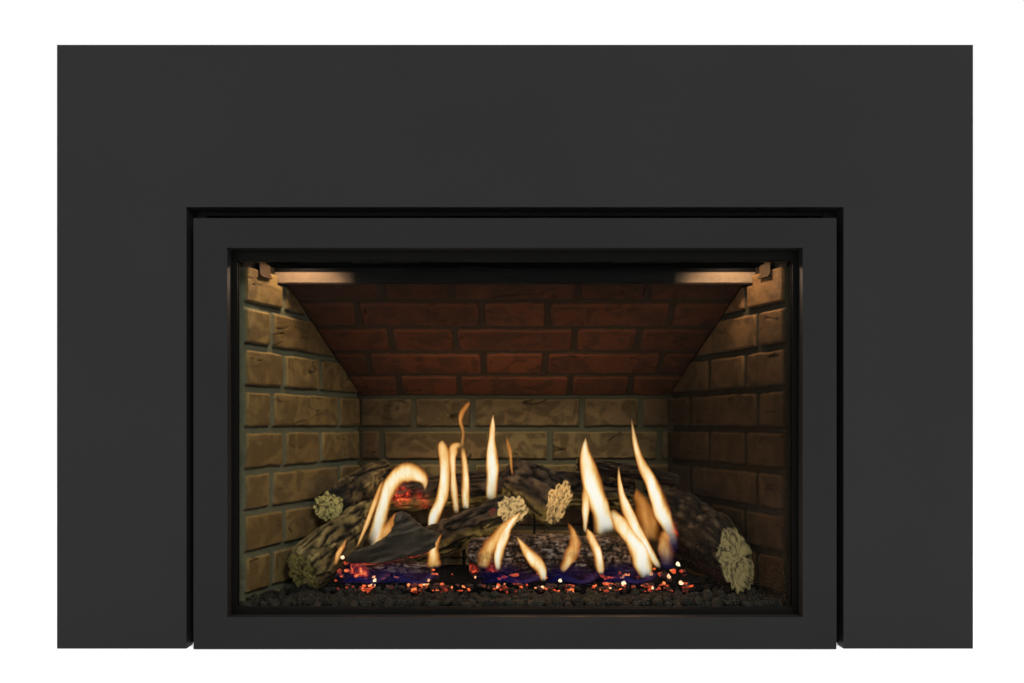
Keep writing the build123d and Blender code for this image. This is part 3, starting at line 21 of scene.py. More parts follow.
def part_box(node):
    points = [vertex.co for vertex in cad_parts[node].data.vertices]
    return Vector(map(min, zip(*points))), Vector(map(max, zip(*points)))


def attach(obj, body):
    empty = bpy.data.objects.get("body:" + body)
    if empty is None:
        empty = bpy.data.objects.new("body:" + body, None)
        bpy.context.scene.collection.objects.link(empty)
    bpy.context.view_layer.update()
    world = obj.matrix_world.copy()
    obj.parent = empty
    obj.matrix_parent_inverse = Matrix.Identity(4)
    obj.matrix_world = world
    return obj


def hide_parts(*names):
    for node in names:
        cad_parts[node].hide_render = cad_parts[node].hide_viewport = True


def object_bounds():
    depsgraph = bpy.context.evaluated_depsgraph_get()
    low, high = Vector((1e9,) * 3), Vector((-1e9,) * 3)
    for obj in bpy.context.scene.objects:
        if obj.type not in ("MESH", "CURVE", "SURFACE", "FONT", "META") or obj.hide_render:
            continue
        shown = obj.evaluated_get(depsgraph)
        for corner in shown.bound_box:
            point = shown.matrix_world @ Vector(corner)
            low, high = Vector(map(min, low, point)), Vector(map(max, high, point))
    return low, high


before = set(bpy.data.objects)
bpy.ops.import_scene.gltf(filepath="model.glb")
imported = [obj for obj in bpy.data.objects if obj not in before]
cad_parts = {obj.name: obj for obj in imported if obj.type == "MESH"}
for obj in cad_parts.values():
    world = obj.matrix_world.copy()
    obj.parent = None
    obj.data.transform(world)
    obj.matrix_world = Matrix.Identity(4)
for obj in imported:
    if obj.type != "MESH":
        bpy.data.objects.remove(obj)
cad_low, cad_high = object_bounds()

# %% Millimetres to frame points
MM = 0.001
FACE_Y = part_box("surround_panel")[0].y
NOISE_SEED = 6
noise.seed_set(NOISE_SEED)       # without a seed, noise_vector would differ from run to run


def place(across, depth, height):
    """The frame point of millimetres across, behind the surround's face, and up."""
    return Vector((across * MM, FACE_Y + depth * MM, height * MM))


def smooth(value, start, end):
    """0 before start, 1 after end, and an easy curve in between."""
    share = min(max((value - start) / (end - start), 0.0), 1.0)
    return share * share * (3 - 2 * share)


print("surround face at", round(FACE_Y, 4))

# %% [markdown]
# ## A small kit for finishes
#
# Every finish here is one Principled shader with a few textures behind it. Wiring nodes by
# hand takes four lines each, so a helper class keeps the wiring short and lets a finish be
# read as a recipe: which noise, how large in millimetres, which colours, how deep a bump.
# A value that is the same everywhere is set on the shader's own socket.

# %% The finish kit
class Finish:
    """One material, with short ways to wire the nodes behind its Principled shader."""

    def __init__(self, name, **settings):
        self.material = bpy.data.materials.new(name)
        self.material.use_nodes = True
        self.tree = self.material.node_tree
        self.shader = self.tree.nodes["Principled BSDF"]
        self.relief = None
        for words, value in settings.items():
            self.put(words.replace("_", " "), value)

    def feed(self, socket, value):
        """Links an output to a socket, or sets a plain number or colour on it."""
        if isinstance(value, bpy.types.NodeSocket):
            self.tree.links.new(value, socket)
        elif socket.type == "RGBA":
            socket.default_value = (*value[:3], 1)
        else:
            socket.default_value = value

    def node(self, kind, inputs=(), **settings):
        made = self.tree.nodes.new("ShaderNode" + kind)
        for key, value in settings.items():
            setattr(made, key, value)
        for socket, value in dict(inputs).items():
            self.feed(made.inputs[socket], value)
        return made

    def spot(self, stretch=(1, 1, 1)):
        """The piece's own coordinates, in metres, squeezed along the axes."""
        coordinates = self.node("TexCoord").outputs["Object"]
        if stretch == (1, 1, 1):
            return coordinates
        return self.node("Mapping", {"Vector": coordinates, "Scale": stretch}).outputs["Vector"]

    def noise(self, size, detail=4.0, roughness=0.55, stretch=(1, 1, 1), distortion=0.0):
        """Clouds about size millimetres across, from 0 to 1."""
        inputs = {"Vector": self.spot(stretch), "Scale": 1 / (size * MM), "Detail": detail,
                  "Roughness": roughness, "Distortion": distortion}
        return self.node("TexNoise", inputs).outputs["Fac"]

    def cells(self, size, output="Distance"):
        """Cells of size millimetres: the distance to their middles, or a colour for each."""
        inputs = {"Vector": self.spot(), "Scale": 1 / (size * MM)}
        return self.node("TexVoronoi", inputs).outputs[output]

    def attribute(self, name):
        return self.node("Attribute", attribute_name=name).outputs["Fac"]

    def ramp(self, source, *stops):
        """Colours along a value: each stop is a position and a linear colour."""
        made = self.node("ValToRGB", {"Fac": source})
        elements = made.color_ramp.elements
        for element, (position, colour) in zip((elements[0], elements[1]), (stops[0], stops[-1])):
            element.position = position
            element.color = (*colour, 1)
        for position, colour in stops[1:-1]:
            elements.new(position).color = (*colour, 1)
        return made.outputs["Color"]

    def mix(self, share, first, second):
        """The first colour where share is 0, the second where it is 1."""
        made = self.node("Mix", data_type="RGBA")
        for index, value in ((0, share), (6, first), (7, second)):
            self.feed(made.inputs[index], value)
        return made.outputs[2]

    def maths(self, operation, first, second=0.5):
        made = self.node("Math", {0: first, 1: second}, operation=operation)
        return made.outputs["Value"]

    def between(self, source, start, end, low=0.0, high=1.0):
        """Start to end of a value becomes low to high, and it is held past both."""
        inputs = {"Value": source, "From Min": start, "From Max": end, "To Min": low,
                  "To Max": high}
        return self.node("MapRange", inputs).outputs["Result"]

    def put(self, word, source):
        """Feeds one of the shader's own sockets."""
        self.feed(self.shader.inputs[word], source)

    def colour(self, source):
        self.put("Base Color", source)

    def rough(self, source, low, high):
        self.put("Roughness", self.between(source, 0, 1, low, high))

    def bump(self, height, depth, strength=1.0):
        """Adds relief of depth millimetres to whatever relief is already there."""
        inputs = {"Height": height, "Distance": depth * MM, "Strength": strength}
        if self.relief:
            inputs["Normal"] = self.relief
        self.relief = self.node("Bump", inputs).outputs["Normal"]
        self.put("Normal", self.relief)


def scaled(colour, share):
    """A darker or lighter version of a linear colour."""
    return tuple(share * part for part in colour)


print("finish kit ready")

# %% [markdown]
# ## Paints
#
# The surround and the front frame are flat sheets in a satin charcoal powder coat. Up close
# such a coat has an orange-peel skin a millimetre or so across, and from a step away its
# tone drifts a little. The door frame and everything round the glass carry a blacker, more
# matt stove paint. One recipe makes them all, with other tones and other roughness.

# %% Painted sheet
def painted_sheet(name, tone, roughness, gloss, skin=1.6):
    """A sprayed coat: a broad drift in tone, a fine skin and a few rubbed flecks."""
    finish = Finish(name, Specular_IOR_Level=gloss)
    drift = finish.noise(240, detail=2)
    body = finish.mix(drift, scaled(tone, 0.84), scaled(tone, 1.16))
    flecks = finish.between(finish.noise(2.4, detail=2), 0.62, 0.8)
    finish.colour(finish.mix(finish.maths("MULTIPLY", flecks, 0.35), body, scaled(tone, 1.7)))
    peel = finish.noise(skin, detail=3)
    finish.rough(peel, roughness - 0.06, roughness + 0.06)
    finish.bump(peel, 0.05, 0.6)
    return finish


surround_paint = painted_sheet("satin_charcoal", (0.0125, 0.0125, 0.0127), 0.50, 0.16)
frame_paint = painted_sheet("satin_charcoal_frame", (0.0105, 0.0105, 0.0107), 0.50, 0.13)
door_black = painted_sheet("satin_black", (0.0035, 0.0034, 0.0030), 0.55, 0.07)
stove_black = painted_sheet("stove_black", (0.003, 0.003, 0.0028), 0.8, 0.05, skin=0.9)
motor_dark = painted_sheet("motor_enamel", (0.035, 0.035, 0.038), 0.4, 0.4)
print("paints", surround_paint.material.name, frame_paint.material.name)

# %% [markdown]
# ## Bare metals
#
# The casing is aluminised steel, which shows faint overlapping flakes and the rolling
# direction as long streaks. Stainless round the burner is heat tinted from straw to blue.
# Cast and formed alloy parts are smoother. Metals take their colour from what they
# reflect, so the recipe changes mostly the roughness, and the tone only a little.

# %% Bare metal
SHADE_BLACK_DEPTH = 62.0     # the casing is painted black this far behind the surround's face: painted shade in the gap round the frame
SHADE_BLACK_HEIGHT = 545.0    # the vent and the flaps are painted black on the firebox side, to this height: painted shade


def paint_shade_black(finish, worn, axis, edge):
    """Black paint below an edge along an axis: painted shade, so that no bright metal shows in a
    gap that lies in shade.
    """
    along = finish.node("SeparateXYZ", {"Vector": finish.spot()}).outputs[axis]
    bare = finish.between(along, edge - 0.001, edge + 0.001)
    finish.put("Metallic", bare)
    return finish.mix(bare, (0.0025, 0.0025, 0.0025), worn)


def bare_metal(name, tone, roughness, flake=9.0, streaks=0.5, tint=None, shade_paint_edge=None,
               spangle=0.0):
    """Rolled or cast metal with flakes, streaks, fine scratches and an optional heat tint.
    Thin sheet with a spangle of crystals is never quite flat either."""
    finish = Finish(name, Metallic=1.0, Specular_IOR_Level=0.1 if shade_paint_edge else 0.5)
    flakes = finish.cells(spangle, "Color") if spangle else finish.cells(flake)
    streak = finish.noise(3, detail=3, stretch=(1, 1, 0.03))
    worn = finish.mix(flakes, scaled(tone, 0.58 if spangle else 0.78), tone)
    worn = finish.mix(finish.maths("MULTIPLY", streak, streaks), worn, scaled(tone, 0.62))
    smudge = finish.between(finish.noise(55, detail=3), 0.45, 0.75)
    worn = finish.mix(finish.maths("MULTIPLY", smudge, 0.3), worn, scaled(tone, 0.5))
    if tint:
        heat = finish.noise(70, detail=2)
        worn = finish.mix(0.5, worn, finish.ramp(heat, *tint))
    finish.colour(paint_shade_black(finish, worn, *shade_paint_edge) if shade_paint_edge else worn)
    finish.rough(flakes, roughness - 0.08, roughness + 0.1)
    if spangle:
        finish.bump(finish.noise(150, detail=1), 3.0, 0.6)
    finish.bump(streak, 0.03, 0.5)
    finish.bump(finish.noise(1.2, detail=2), 0.03, 0.4)
    return finish


HEAT_TINT = ((0.3, (0.62, 0.52, 0.36)), (0.5, (0.45, 0.28, 0.2)), (0.68, (0.2, 0.22, 0.36)))
# painted shade: the casing and brackets in front of a depth are painted black, where they show in
# the dark gap round the frame
plated_steel = bare_metal("aluminised_steel", (0.60, 0.61, 0.62), 0.36, spangle=11.0,
                          shade_paint_edge=("Y", FACE_Y + SHADE_BLACK_DEPTH * MM))
# painted shade: the vent steel is painted black below a height, where it shows above the liner
vent_steel = bare_metal("shade_black_steel", (0.44, 0.43, 0.41), 0.45,
                        shade_paint_edge=("Z", SHADE_BLACK_HEIGHT * MM))
zinc_screw = bare_metal("zinc_plate", (0.60, 0.60, 0.55), 0.32, flake=1.5, streaks=0.2)
magnet_nickel = bare_metal("nickel_plate", (0.30, 0.295, 0.28), 0.42, flake=3, streaks=0.1)
burner_steel = bare_metal("tinted_stainless", (0.36, 0.34, 0.31), 0.36, tint=HEAT_TINT)
cast_alloy = bare_metal("die_cast_alloy", (0.48, 0.48, 0.48), 0.5, flake=1.2, streaks=0.1)
gas_tube = bare_metal("drawn_tube", (0.62, 0.61, 0.58), 0.3, flake=2.0, streaks=0.4)
blower_alloy = bare_metal("formed_alloy", (0.58, 0.59, 0.60), 0.36, flake=4.0)
print("metals made")

# %% [markdown]
# ## Plastic, rubber and rope
#
# Switch, knobs and module are moulded black plastic with a spark-eroded texture. The feet
# and grommet are rubber, duller and softer edged. The door gasket is a woven glass rope,
# which two crossed bands of diagonal waves suggest well at its 8 millimetre width.

# %% Plastic and rubber
def moulded(name, tone, roughness, grain):
    finish = Finish(name, Specular_IOR_Level=0.35)
    sparkle = finish.noise(grain, detail=3)
    finish.colour(finish.mix(finish.noise(30), tone, scaled(tone, 1.5)))
    finish.rough(sparkle, roughness - 0.08, roughness + 0.08)
    finish.bump(sparkle, 0.06, 0.7)
    return finish


black_plastic = moulded("textured_plastic", (0.022, 0.022, 0.023), 0.5, 0.7)
rubber_black = moulded("moulded_rubber", (0.016, 0.016, 0.016), 0.75, 1.4)


def woven_rope(name):
    """Two diagonal waves cross to make the over and under of a woven rope."""
    finish = Finish(name, Roughness=0.95, Specular_IOR_Level=0.1)
    strands = []
    for turn in (1, -1):
        inputs = {"Vector": finish.spot((1, 1, turn)), "Scale": 260.0, "Distortion": 0.6}
        wave = finish.node("TexWave", inputs, bands_direction="DIAGONAL")
        strands.append(wave.outputs["Fac"])
    weave = finish.maths("MULTIPLY", *strands)
    finish.colour(finish.ramp(weave, (0.0, (0.003, 0.003, 0.003)), (1.0, (0.02, 0.019, 0.017))))
    finish.bump(weave, 0.5)
    return finish


gasket_rope = woven_rope("glass_rope")
print("plastic, rubber and rope made")

# %% [markdown]
# ## Glass and lamps
#
# The door pane is clear ceramic. What the eye sees through it matters more than the pane,
# so it is a thin, nearly clear sheet: a low alpha lets light straight through, which keeps
# the fire sharp and cheap to render. The lamp capsules glow, and a little grain in their
# glow keeps them from looking like plain blobs.

# %% Clear pane and lamp glass
def clear_pane(name):
    finish = Finish(name, Roughness=0.04, Specular_IOR_Level=0.5)
    finish.colour(finish.mix(finish.noise(180, detail=1), (0.004, 0.005, 0.004),
                             (0.008, 0.009, 0.008)))
    haze = finish.between(finish.noise(120, detail=3), 0.35, 0.75, 0.010, 0.028)
    finish.put("Alpha", haze)
    return finish


def lamp_capsule(name):
    finish = Finish(name, Roughness=0.1, Emission_Strength=4.0)
    warm = finish.ramp(finish.noise(5, detail=1), (0.3, (1.0, 0.62, 0.3)), (0.7, (1, 0.8, 0.5)))
    finish.colour(warm)
    finish.put("Emission Color", warm)
    return finish


door_glass = clear_pane("ceramic_glass")
lamp_glass = lamp_capsule("lamp_capsule")
print("glass made")

# %% [markdown]
# ## Painted bricks
#
# The liner is cast in large panels and painted by hand. On each panel the mortar is one
# colour, a muddy green-grey, and every brick has a slightly different tone with smoke wiped
# over it. Upper edges carry a painted highlight, and creases and the strip under each brick
# carry painted shade; the panels also carry painted shade towards their sides and top. The
# mesh carries an attribute for each brick mark: "brick" against mortar, the brick's own
# "tone", "crease", "shade" under a brick, and "top_highlight" along its upper edges.

# %% Brick finish
def painted_brick(name, mortar, pale, deep, smoke_and_shade, far, high, shade_strength=0.75, low=(-20, -90)):
    """Mortar below, brick tones above, wiped smoke, a painted highlight on upper edges and
    painted shade in creases and under each brick. Painted shade, as strong as
    shade_strength, darkens between the two distances of far, from the middle, and the two
    heights of high. Between the two heights of low the tone falls off towards the bottom,
    which is painted shade too."""
    finish = Finish(name, Specular_IOR_Level=0.12)
    sand = finish.noise(1.8, detail=3)
    body = finish.mix(finish.attribute("tone"), deep, pale)
    wiped = finish.noise(30, detail=4, roughness=0.5, distortion=0.9)
    body = finish.mix(finish.between(wiped, 0.44, 0.54, 0.0, 0.75), body, smoke_and_shade)
    warm = finish.noise(21, detail=3, distortion=0.5)
    body = finish.mix(finish.between(warm, 0.56, 0.68, 0, 0.55), body, pale)
    body = finish.mix(finish.between(sand, 0.30, 0.75, 0.30, 0), body, scaled(deep, 0.3))
    # painted highlight: the upper edges of each brick are made paler, as if lit from above
    highlighted = finish.maths("MULTIPLY", finish.attribute("top_highlight"), finish.between(sand, 0.2, 0.8))
    body = finish.mix(highlighted, body, scaled(pale, 1.7))
    joint = finish.mix(finish.between(sand, 0.3, 0.7), scaled(mortar, 0.65), mortar)
    painted = finish.mix(finish.between(finish.attribute("brick"), 0.2, 0.7), joint, body)
    shade_colour = scaled(deep, 0.05)
    # painted shade: creases and the strip under each brick go nearly black
    painted = finish.mix(finish.maths("MULTIPLY", finish.attribute("crease"), 0.85), painted, shade_colour)
    painted = finish.mix(finish.maths("MULTIPLY", finish.attribute("shade"), 0.9), painted, shade_colour)
    # painted shade: darker towards the sides and the top, as far and high say
    split = finish.node("SeparateXYZ", {"Vector": finish.spot()}).outputs
    outward = finish.between(finish.maths("ABSOLUTE", split["X"]), far[0] * MM, far[1] * MM)
    upward = finish.between(split["Z"], high[0] * MM, high[1] * MM)
    shaded_share = finish.maths("MULTIPLY", finish.maths("MAXIMUM", outward, upward), shade_strength)
    painted = finish.mix(shaded_share, painted, scaled(smoke_and_shade, 0.08))
    # painted shade: darker towards the bottom, between the heights of low
    downward = finish.between(split["Z"], low[0] * MM, low[1] * MM, 0.0, 0.78)
    painted = finish.mix(downward, painted, scaled(smoke_and_shade, 0.15))
    finish.colour(painted)
    finish.rough(sand, 0.78, 0.98)
    finish.bump(finish.noise(8, detail=5, roughness=0.6), 0.9, 0.7)
    finish.bump(sand, 0.35, 0.7)
    return finish


NOWHERE = (900, 990)     # millimetres that no panel reaches
LAMP_SHADOW = (474, 476)         # the ceiling keeps the lamps' light below this height

# far and high give where painted shade darkens a panel towards its sides and its top; on the side
# panels it darkens all that lies above the lamps' light
side_brick = painted_brick("painted_brick_left", mortar=(0.070, 0.073, 0.043),
                           pale=(0.120, 0.082, 0.029), deep=(0.082, 0.051, 0.017),
                           smoke_and_shade=(0.056, 0.036, 0.013), far=NOWHERE, high=LAMP_SHADOW, shade_strength=1.0)
# The right panel's paint is a shaded copy of the left one: its darker mortar and smoke, and its
# tone falling off towards the bottom, are painted shade.
shaded_right_brick = painted_brick("painted_brick_right_shaded", mortar=(0.026, 0.022, 0.012),
                            pale=(0.126, 0.068, 0.024), deep=(0.078, 0.040, 0.014),
                            smoke_and_shade=(0.046, 0.026, 0.010), far=NOWHERE, high=LAMP_SHADOW, shade_strength=1.0,
                            low=(450, 320))
rear_brick = painted_brick("painted_brick_rear", mortar=(0.084, 0.073, 0.037),
                           pale=(0.175, 0.118, 0.043), deep=(0.122, 0.062, 0.026),
                           smoke_and_shade=(0.062, 0.039, 0.015), far=(110, 240), high=(275, 350),
                           shade_strength=0.66)
upper_brick = painted_brick("painted_brick_upper", mortar=(0.036, 0.022, 0.011),
                            pale=(0.100, 0.031, 0.010), deep=(0.066, 0.020, 0.008),
                            smoke_and_shade=(0.036, 0.016, 0.008), far=(95, 300), high=(380, 468))
print("brick finishes made")

# %% [markdown]
# ## Cast logs
#
# The logs are ceramic fibre, cast in moulds taken from real wood and then stained. Ridges
# are dry-brushed pale over nearly black valleys, the underside is redder or yellower, and
# the broken ends are pale and deeply cracked. The attributes "high", "crack", "sawn",
# "under" and "glow" come with the mesh, so that colour follows the shape.

# %% Bark finish
def painted_bark(name, valley, plate, ridge, under, sawn, ash=0.0):
    """Stained bark, dry-brushed on its ridges. Ash pales it, and hot parts glow."""
    finish = Finish(name, Specular_IOR_Level=0.12, Emission_Strength=1.2)
    high = finish.attribute("high")
    body = finish.ramp(high, (0.15, valley), (0.48, plate), (0.85, ridge))
    stain = finish.between(finish.noise(26, detail=4), 0.42, 0.62, 0, 0.7)
    body = finish.mix(stain, body, finish.ramp(high, (0.2, valley), (0.8, plate)))
    below = finish.ramp(high, (0.2, scaled(under, 0.2)), (0.75, under))
    body = finish.mix(finish.attribute("under"), body, below)
    if ash:
        flaky = finish.maths("MULTIPLY", finish.between(high, 0.42, 0.7),
                             finish.between(finish.noise(9, detail=3), 0.44, 0.58, 0, ash))
        body = finish.mix(flaky, body, (0.26, 0.25, 0.24))
    face = finish.ramp(high, (0.0, scaled(sawn, 0.10)), (0.30, scaled(sawn, 0.5)), (0.65, sawn))
    body = finish.mix(finish.attribute("sawn"), body, face)
    finish.colour(finish.mix(finish.attribute("crack"), body, (0.003, 0.0025, 0.002)))
    grit = finish.noise(3.5, detail=5, roughness=0.65)
    finish.rough(grit, 0.8, 0.98)
    heat = finish.maths("MULTIPLY", finish.attribute("glow"),
                        finish.between(finish.noise(7, detail=4), 0.40, 0.66, 0.1, 1.2))
    finish.put("Emission Color",
               finish.ramp(heat, (0.0, (0, 0, 0)), (0.4, (0.22, 0.010, 0.006)),
                           (0.75, (0.85, 0.09, 0.02)), (1.0, (1.0, 0.35, 0.10))))
    finish.bump(grit, 1.2, 0.8)
    finish.bump(finish.noise(1.2, detail=3), 0.35, 0.8)
    return finish


olive_bark = painted_bark("olive_bark", valley=(0.006, 0.005, 0.003),
                          plate=(0.064, 0.049, 0.020), ridge=(0.175, 0.138, 0.050),
                          under=(0.045, 0.032, 0.013), sawn=(0.115, 0.097, 0.028))
straw_bark = painted_bark("straw_bark", valley=(0.005, 0.004, 0.0025),
                          plate=(0.044, 0.031, 0.014), ridge=(0.125, 0.092, 0.036),
                          under=(0.045, 0.030, 0.012), sawn=(0.31, 0.26, 0.088))
dark_bark = painted_bark("dark_bark", valley=(0.004, 0.003, 0.002),
                         plate=(0.030, 0.021, 0.014), ridge=(0.085, 0.060, 0.034),
                         under=(0.17, 0.125, 0.035), sawn=(0.36, 0.282, 0.128))
split_bark = painted_bark("split_bark", valley=(0.002, 0.0015, 0.001),
                          plate=(0.012, 0.0075, 0.004), ridge=(0.060, 0.044, 0.025),
                          under=(0.014, 0.0065, 0.004), sawn=(0.175, 0.142, 0.06))
ash_bark = painted_bark("ash_bark", valley=(0.004, 0.003, 0.002),
                        plate=(0.050, 0.031, 0.019), ridge=(0.125, 0.082, 0.050),
                        under=(0.028, 0.013, 0.010), sawn=(0.16, 0.11, 0.04), ash=0.32)
charred_bark = painted_bark("charred_bark", valley=(0.006, 0.005, 0.0035),
                            plate=(0.023, 0.019, 0.012), ridge=(0.054, 0.045, 0.030),
                            under=(0.014, 0.010, 0.008), sawn=(0.08, 0.06, 0.03), ash=0.04)
print("bark finishes made")

# %% [markdown]
# ## Lava rock and embers
#
# Broken lava rock is nearly black with a green-grey bloom and open pores. The embers are
# tufts of glowing wool scattered over the burner, from black through cherry red to a
# yellow that is almost white. Each lump of the mesh carries one "mark": a tone or a heat.

# %% Rock, ember and flame finishes
def broken_lava(name):
    finish = Finish(name, Specular_IOR_Level=0.25)
    tone = finish.attribute("mark")
    finish.colour(finish.mix(tone, (0.0016, 0.0018, 0.0011), (0.0095, 0.010, 0.0066)))
    pores = finish.cells(2.2)
    finish.rough(finish.noise(3), 0.6, 0.95)
    finish.bump(pores, 0.7, 0.8)
    finish.bump(finish.noise(1.1, detail=3), 0.3, 0.8)
    return finish


def glowing_ember(name):
    finish = Finish(name, Roughness=0.9, Emission_Strength=1.25)
    flicker = finish.between(finish.noise(2.5, detail=2), 0.3, 0.7, 0.75, 1.15)
    heat = finish.maths("MULTIPLY", finish.attribute("mark"), flicker)
    finish.colour(finish.mix(heat, (0.012, 0.010, 0.009), (0.16, 0.04, 0.02)))
    finish.put("Emission Color",
               finish.ramp(heat, (0.15, (0, 0, 0)), (0.40, (0.10, 0.006, 0.003)),
                           (0.62, (0.62, 0.07, 0.015)), (0.82, (0.85, 0.28, 0.07)),
                           (1.0, (1.0, 0.85, 0.55))))
    finish.bump(finish.noise(1.5, detail=3), 0.5)
    return finish


def burning_gas(name):
    """White in the core, orange towards the rim, deep blue at some feet, clear at the edge."""
    finish = Finish(name, Roughness=1.0, Specular_IOR_Level=0.0, Emission_Strength=1.0)
    finish.colour(finish.mix(finish.noise(20), (0, 0, 0), (0.001, 0.001, 0.001)))
    wisp = finish.noise(10, detail=3, stretch=(1, 1, 0.25))
    dense = finish.maths("MULTIPLY", finish.attribute("core"),
                         finish.between(wisp, 0.3, 0.7, 0.66, 1.16))
    warm = finish.ramp(dense, (0.0, (0.50, 0.09, 0.008)), (0.25, (0.85, 0.28, 0.04)),
                       (0.50, (1.0, 0.58, 0.18)), (0.72, (1.0, 0.84, 0.50)),
                       (0.95, (1.0, 0.97, 0.84)))
    foot = finish.attribute("foot")
    finish.put("Emission Color", finish.mix(foot, warm, (0.006, 0.006, 0.070)))
    body = finish.node("MapRange", {"Value": dense, "From Max": 0.80},
                       interpolation_type="SMOOTHSTEP").outputs["Result"]
    thin = finish.between(foot, 0.0, 1.0, 1.0, 0.75)
    finish.put("Alpha", finish.maths("MULTIPLY", finish.maths("MULTIPLY", body, thin),
                                     finish.attribute("fade")))
    return finish


lava_rock = broken_lava("lava_rock")
ember_wool = glowing_ember("glowing_ember")
flame_gas = burning_gas("burning_gas")
print("rock, ember and flame finishes made")

# %% [markdown]
# ## Lamp light painted on the bar
#
# The bar that holds the upper panel, and the clips on the side panels, sit a hand's width
# from the lamps. Where the lamps' light falls on the bar, its black paint is painted tan: a
# painted pool of light with a soft edge. The clips are painted tan all over.

# %% Painted lamp light
LAMP_POOL_FROM = 228.0    # the bar carries painted lamp light this far from the middle and beyond
LAMP_POOL_TOP = 481.5     # and up to this height


def tan_paint_or_lamp_light(name, tan_colour, start, top):
    """Black paint, tan past a distance from the middle and up to a height. On the bar this tan is
    a painted pool of lamp light; the clips are tan all over.
    """
    finish = Finish(name, Specular_IOR_Level=0.1)
    split = finish.node("SeparateXYZ", {"Vector": finish.spot()}).outputs
    past = finish.between(finish.maths("ABSOLUTE", split["X"]), (start - 12) * MM,
                          (start + 14) * MM)
    past = finish.maths("MULTIPLY", past, finish.between(split["Z"], top * MM, (top - 1) * MM))
    worn = finish.between(finish.noise(5, detail=4), 0.3, 0.7)
    tan = finish.mix(worn, scaled(tan_colour, 0.75), tan_colour)
    finish.colour(finish.mix(past, (0.0022, 0.0022, 0.002), tan))
    finish.rough(worn, 0.7, 0.9)
    finish.bump(worn, 0.05, 0.5)
    return finish


# painted light: the tan on the bar's ends stands for the lamps' light falling on it
lamp_lit_bar = tan_paint_or_lamp_light("lamp_lit_bar", (0.150, 0.107, 0.068), LAMP_POOL_FROM,
                              LAMP_POOL_TOP)
tan_clip = tan_paint_or_lamp_light("tan_clip", (0.024, 0.0125, 0.0038), 0.0, 600.0)
print("bleached paint made")

# %% [markdown]
# ## Hand the finishes to the frame's pieces
#
# Each piece of the frame arrives with one material, named after the slot in the record.
# Looking the finish up by that name means that a new screw or bracket would be dressed
# without another line here. A few pieces beside the fire have a finish of their own.

# %% Dress the frame
FINISHES = {
    "surround_paint": surround_paint, "frame_paint": frame_paint, "door_black": door_black,
    "door_glass": door_glass, "gasket_rope": gasket_rope, "plated_steel": plated_steel,
    "magnet_nickel": magnet_nickel, "rubber_black": rubber_black, "zinc_screw": zinc_screw,
    "stove_black": stove_black, "brick_side": side_brick, "brick_rear": rear_brick,
    "brick_upper": upper_brick, "burner_steel": burner_steel, "cast_alloy": cast_alloy,
    "gas_tube": gas_tube, "black_plastic": black_plastic, "log_bark": olive_bark,
    "charred_bark": charred_bark, "lava_rock": lava_rock, "blower_alloy": blower_alloy,
    "motor_dark": motor_dark, "lamp_glass": lamp_glass,
}
OWN_FINISHES = {
    "baffle_retainer": lamp_lit_bar, "panel_clips": tan_clip,
    "relief_flap_left": vent_steel, "relief_flap_right": vent_steel,
    "exhaust_collar": vent_steel,
}
for name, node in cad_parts.items():
    for slot in node.material_slots:
        slot.material = OWN_FINISHES.get(name, FINISHES[slot.material.name]).material
print("dressed", len(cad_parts), "frame pieces")

# %% [markdown]
# ## Turning a bmesh into a piece
#
# Every modelled piece ends the same way: its mesh is wrapped in an object at the origin, it
# rides on a body of the frame, it takes its finish, and it names the plain solid that it
# stands for.

# %% Finish a piece
def piece(name, bm, finish, replaces=(), body="chassis"):
    """Wraps a bmesh in an object that rides on a body of the frame."""
    mesh = bpy.data.meshes.new(name)
    bm.to_mesh(mesh)
    bm.free()
    mesh.shade_smooth()
    mesh.materials.append(finish.material)
    made = bpy.data.objects.new(name, mesh)
    bpy.context.scene.collection.objects.link(made)
    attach(made, body)
    if replaces:
        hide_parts(*replaces)
    print(name, len(mesh.polygons), "faces")
    return made


def close_ends(bm):
    """Fills every open loop and turns all faces outwards."""
    rim = [edge for edge in bm.edges if edge.is_boundary]
    bmesh.ops.holes_fill(bm, edges=rim)
    bmesh.ops.recalc_face_normals(bm, faces=bm.faces[:])


print("piece maker ready")

# %% [markdown]
# ## Moulded brick panels
#
# A brick panel could be built from hundreds of separate boxes, but the real one is a single
# casting whose bricks swell out of the mortar with soft, chipped edges. So each panel is
# one fine grid. For every point of it a bond function says which brick is nearest, and the
# point rises by how far inside that brick it lies. Noise bends the outlines, tilts each
# brick, and draws creases. The rim of the grid is then drawn back to the panel's thickness.

# %% The bonds
COURSE = 53.4            # a brick and a joint
JOINT = 8.6
STRETCHER = 169.0
HEADER = 87.0
BRICK_HIGH = COURSE - JOINT
JOINT_LEVEL = 53.6       # height of the lowest level joint
SIDE_JOINTS = ((56.0, 227.0), (84.0, 175.0))
SIDE_LENGTH = 292.3


def flemish(centres, lowest):
    """Stretchers and headers in turn. Centres are the stretchers' middles, by course."""
    period = STRETCHER + HEADER + 2 * JOINT

    def brick_at(across, up):
        course = math.floor((up - lowest + JOINT / 2) / COURSE)
        along = across - centres[course % 2] + (STRETCHER + JOINT) / 2
        turn = math.floor(along / period)
        start = along - turn * period
        header = start > STRETCHER + JOINT
        width = HEADER if header else STRETCHER
        left = STRETCHER + JOINT if header else 0.0
        middle = across - start + left + (width + JOINT) / 2
        level = lowest + course * COURSE + BRICK_HIGH / 2
        return middle, level, width / 2, 60 * course + 2 * turn + header
    return brick_at


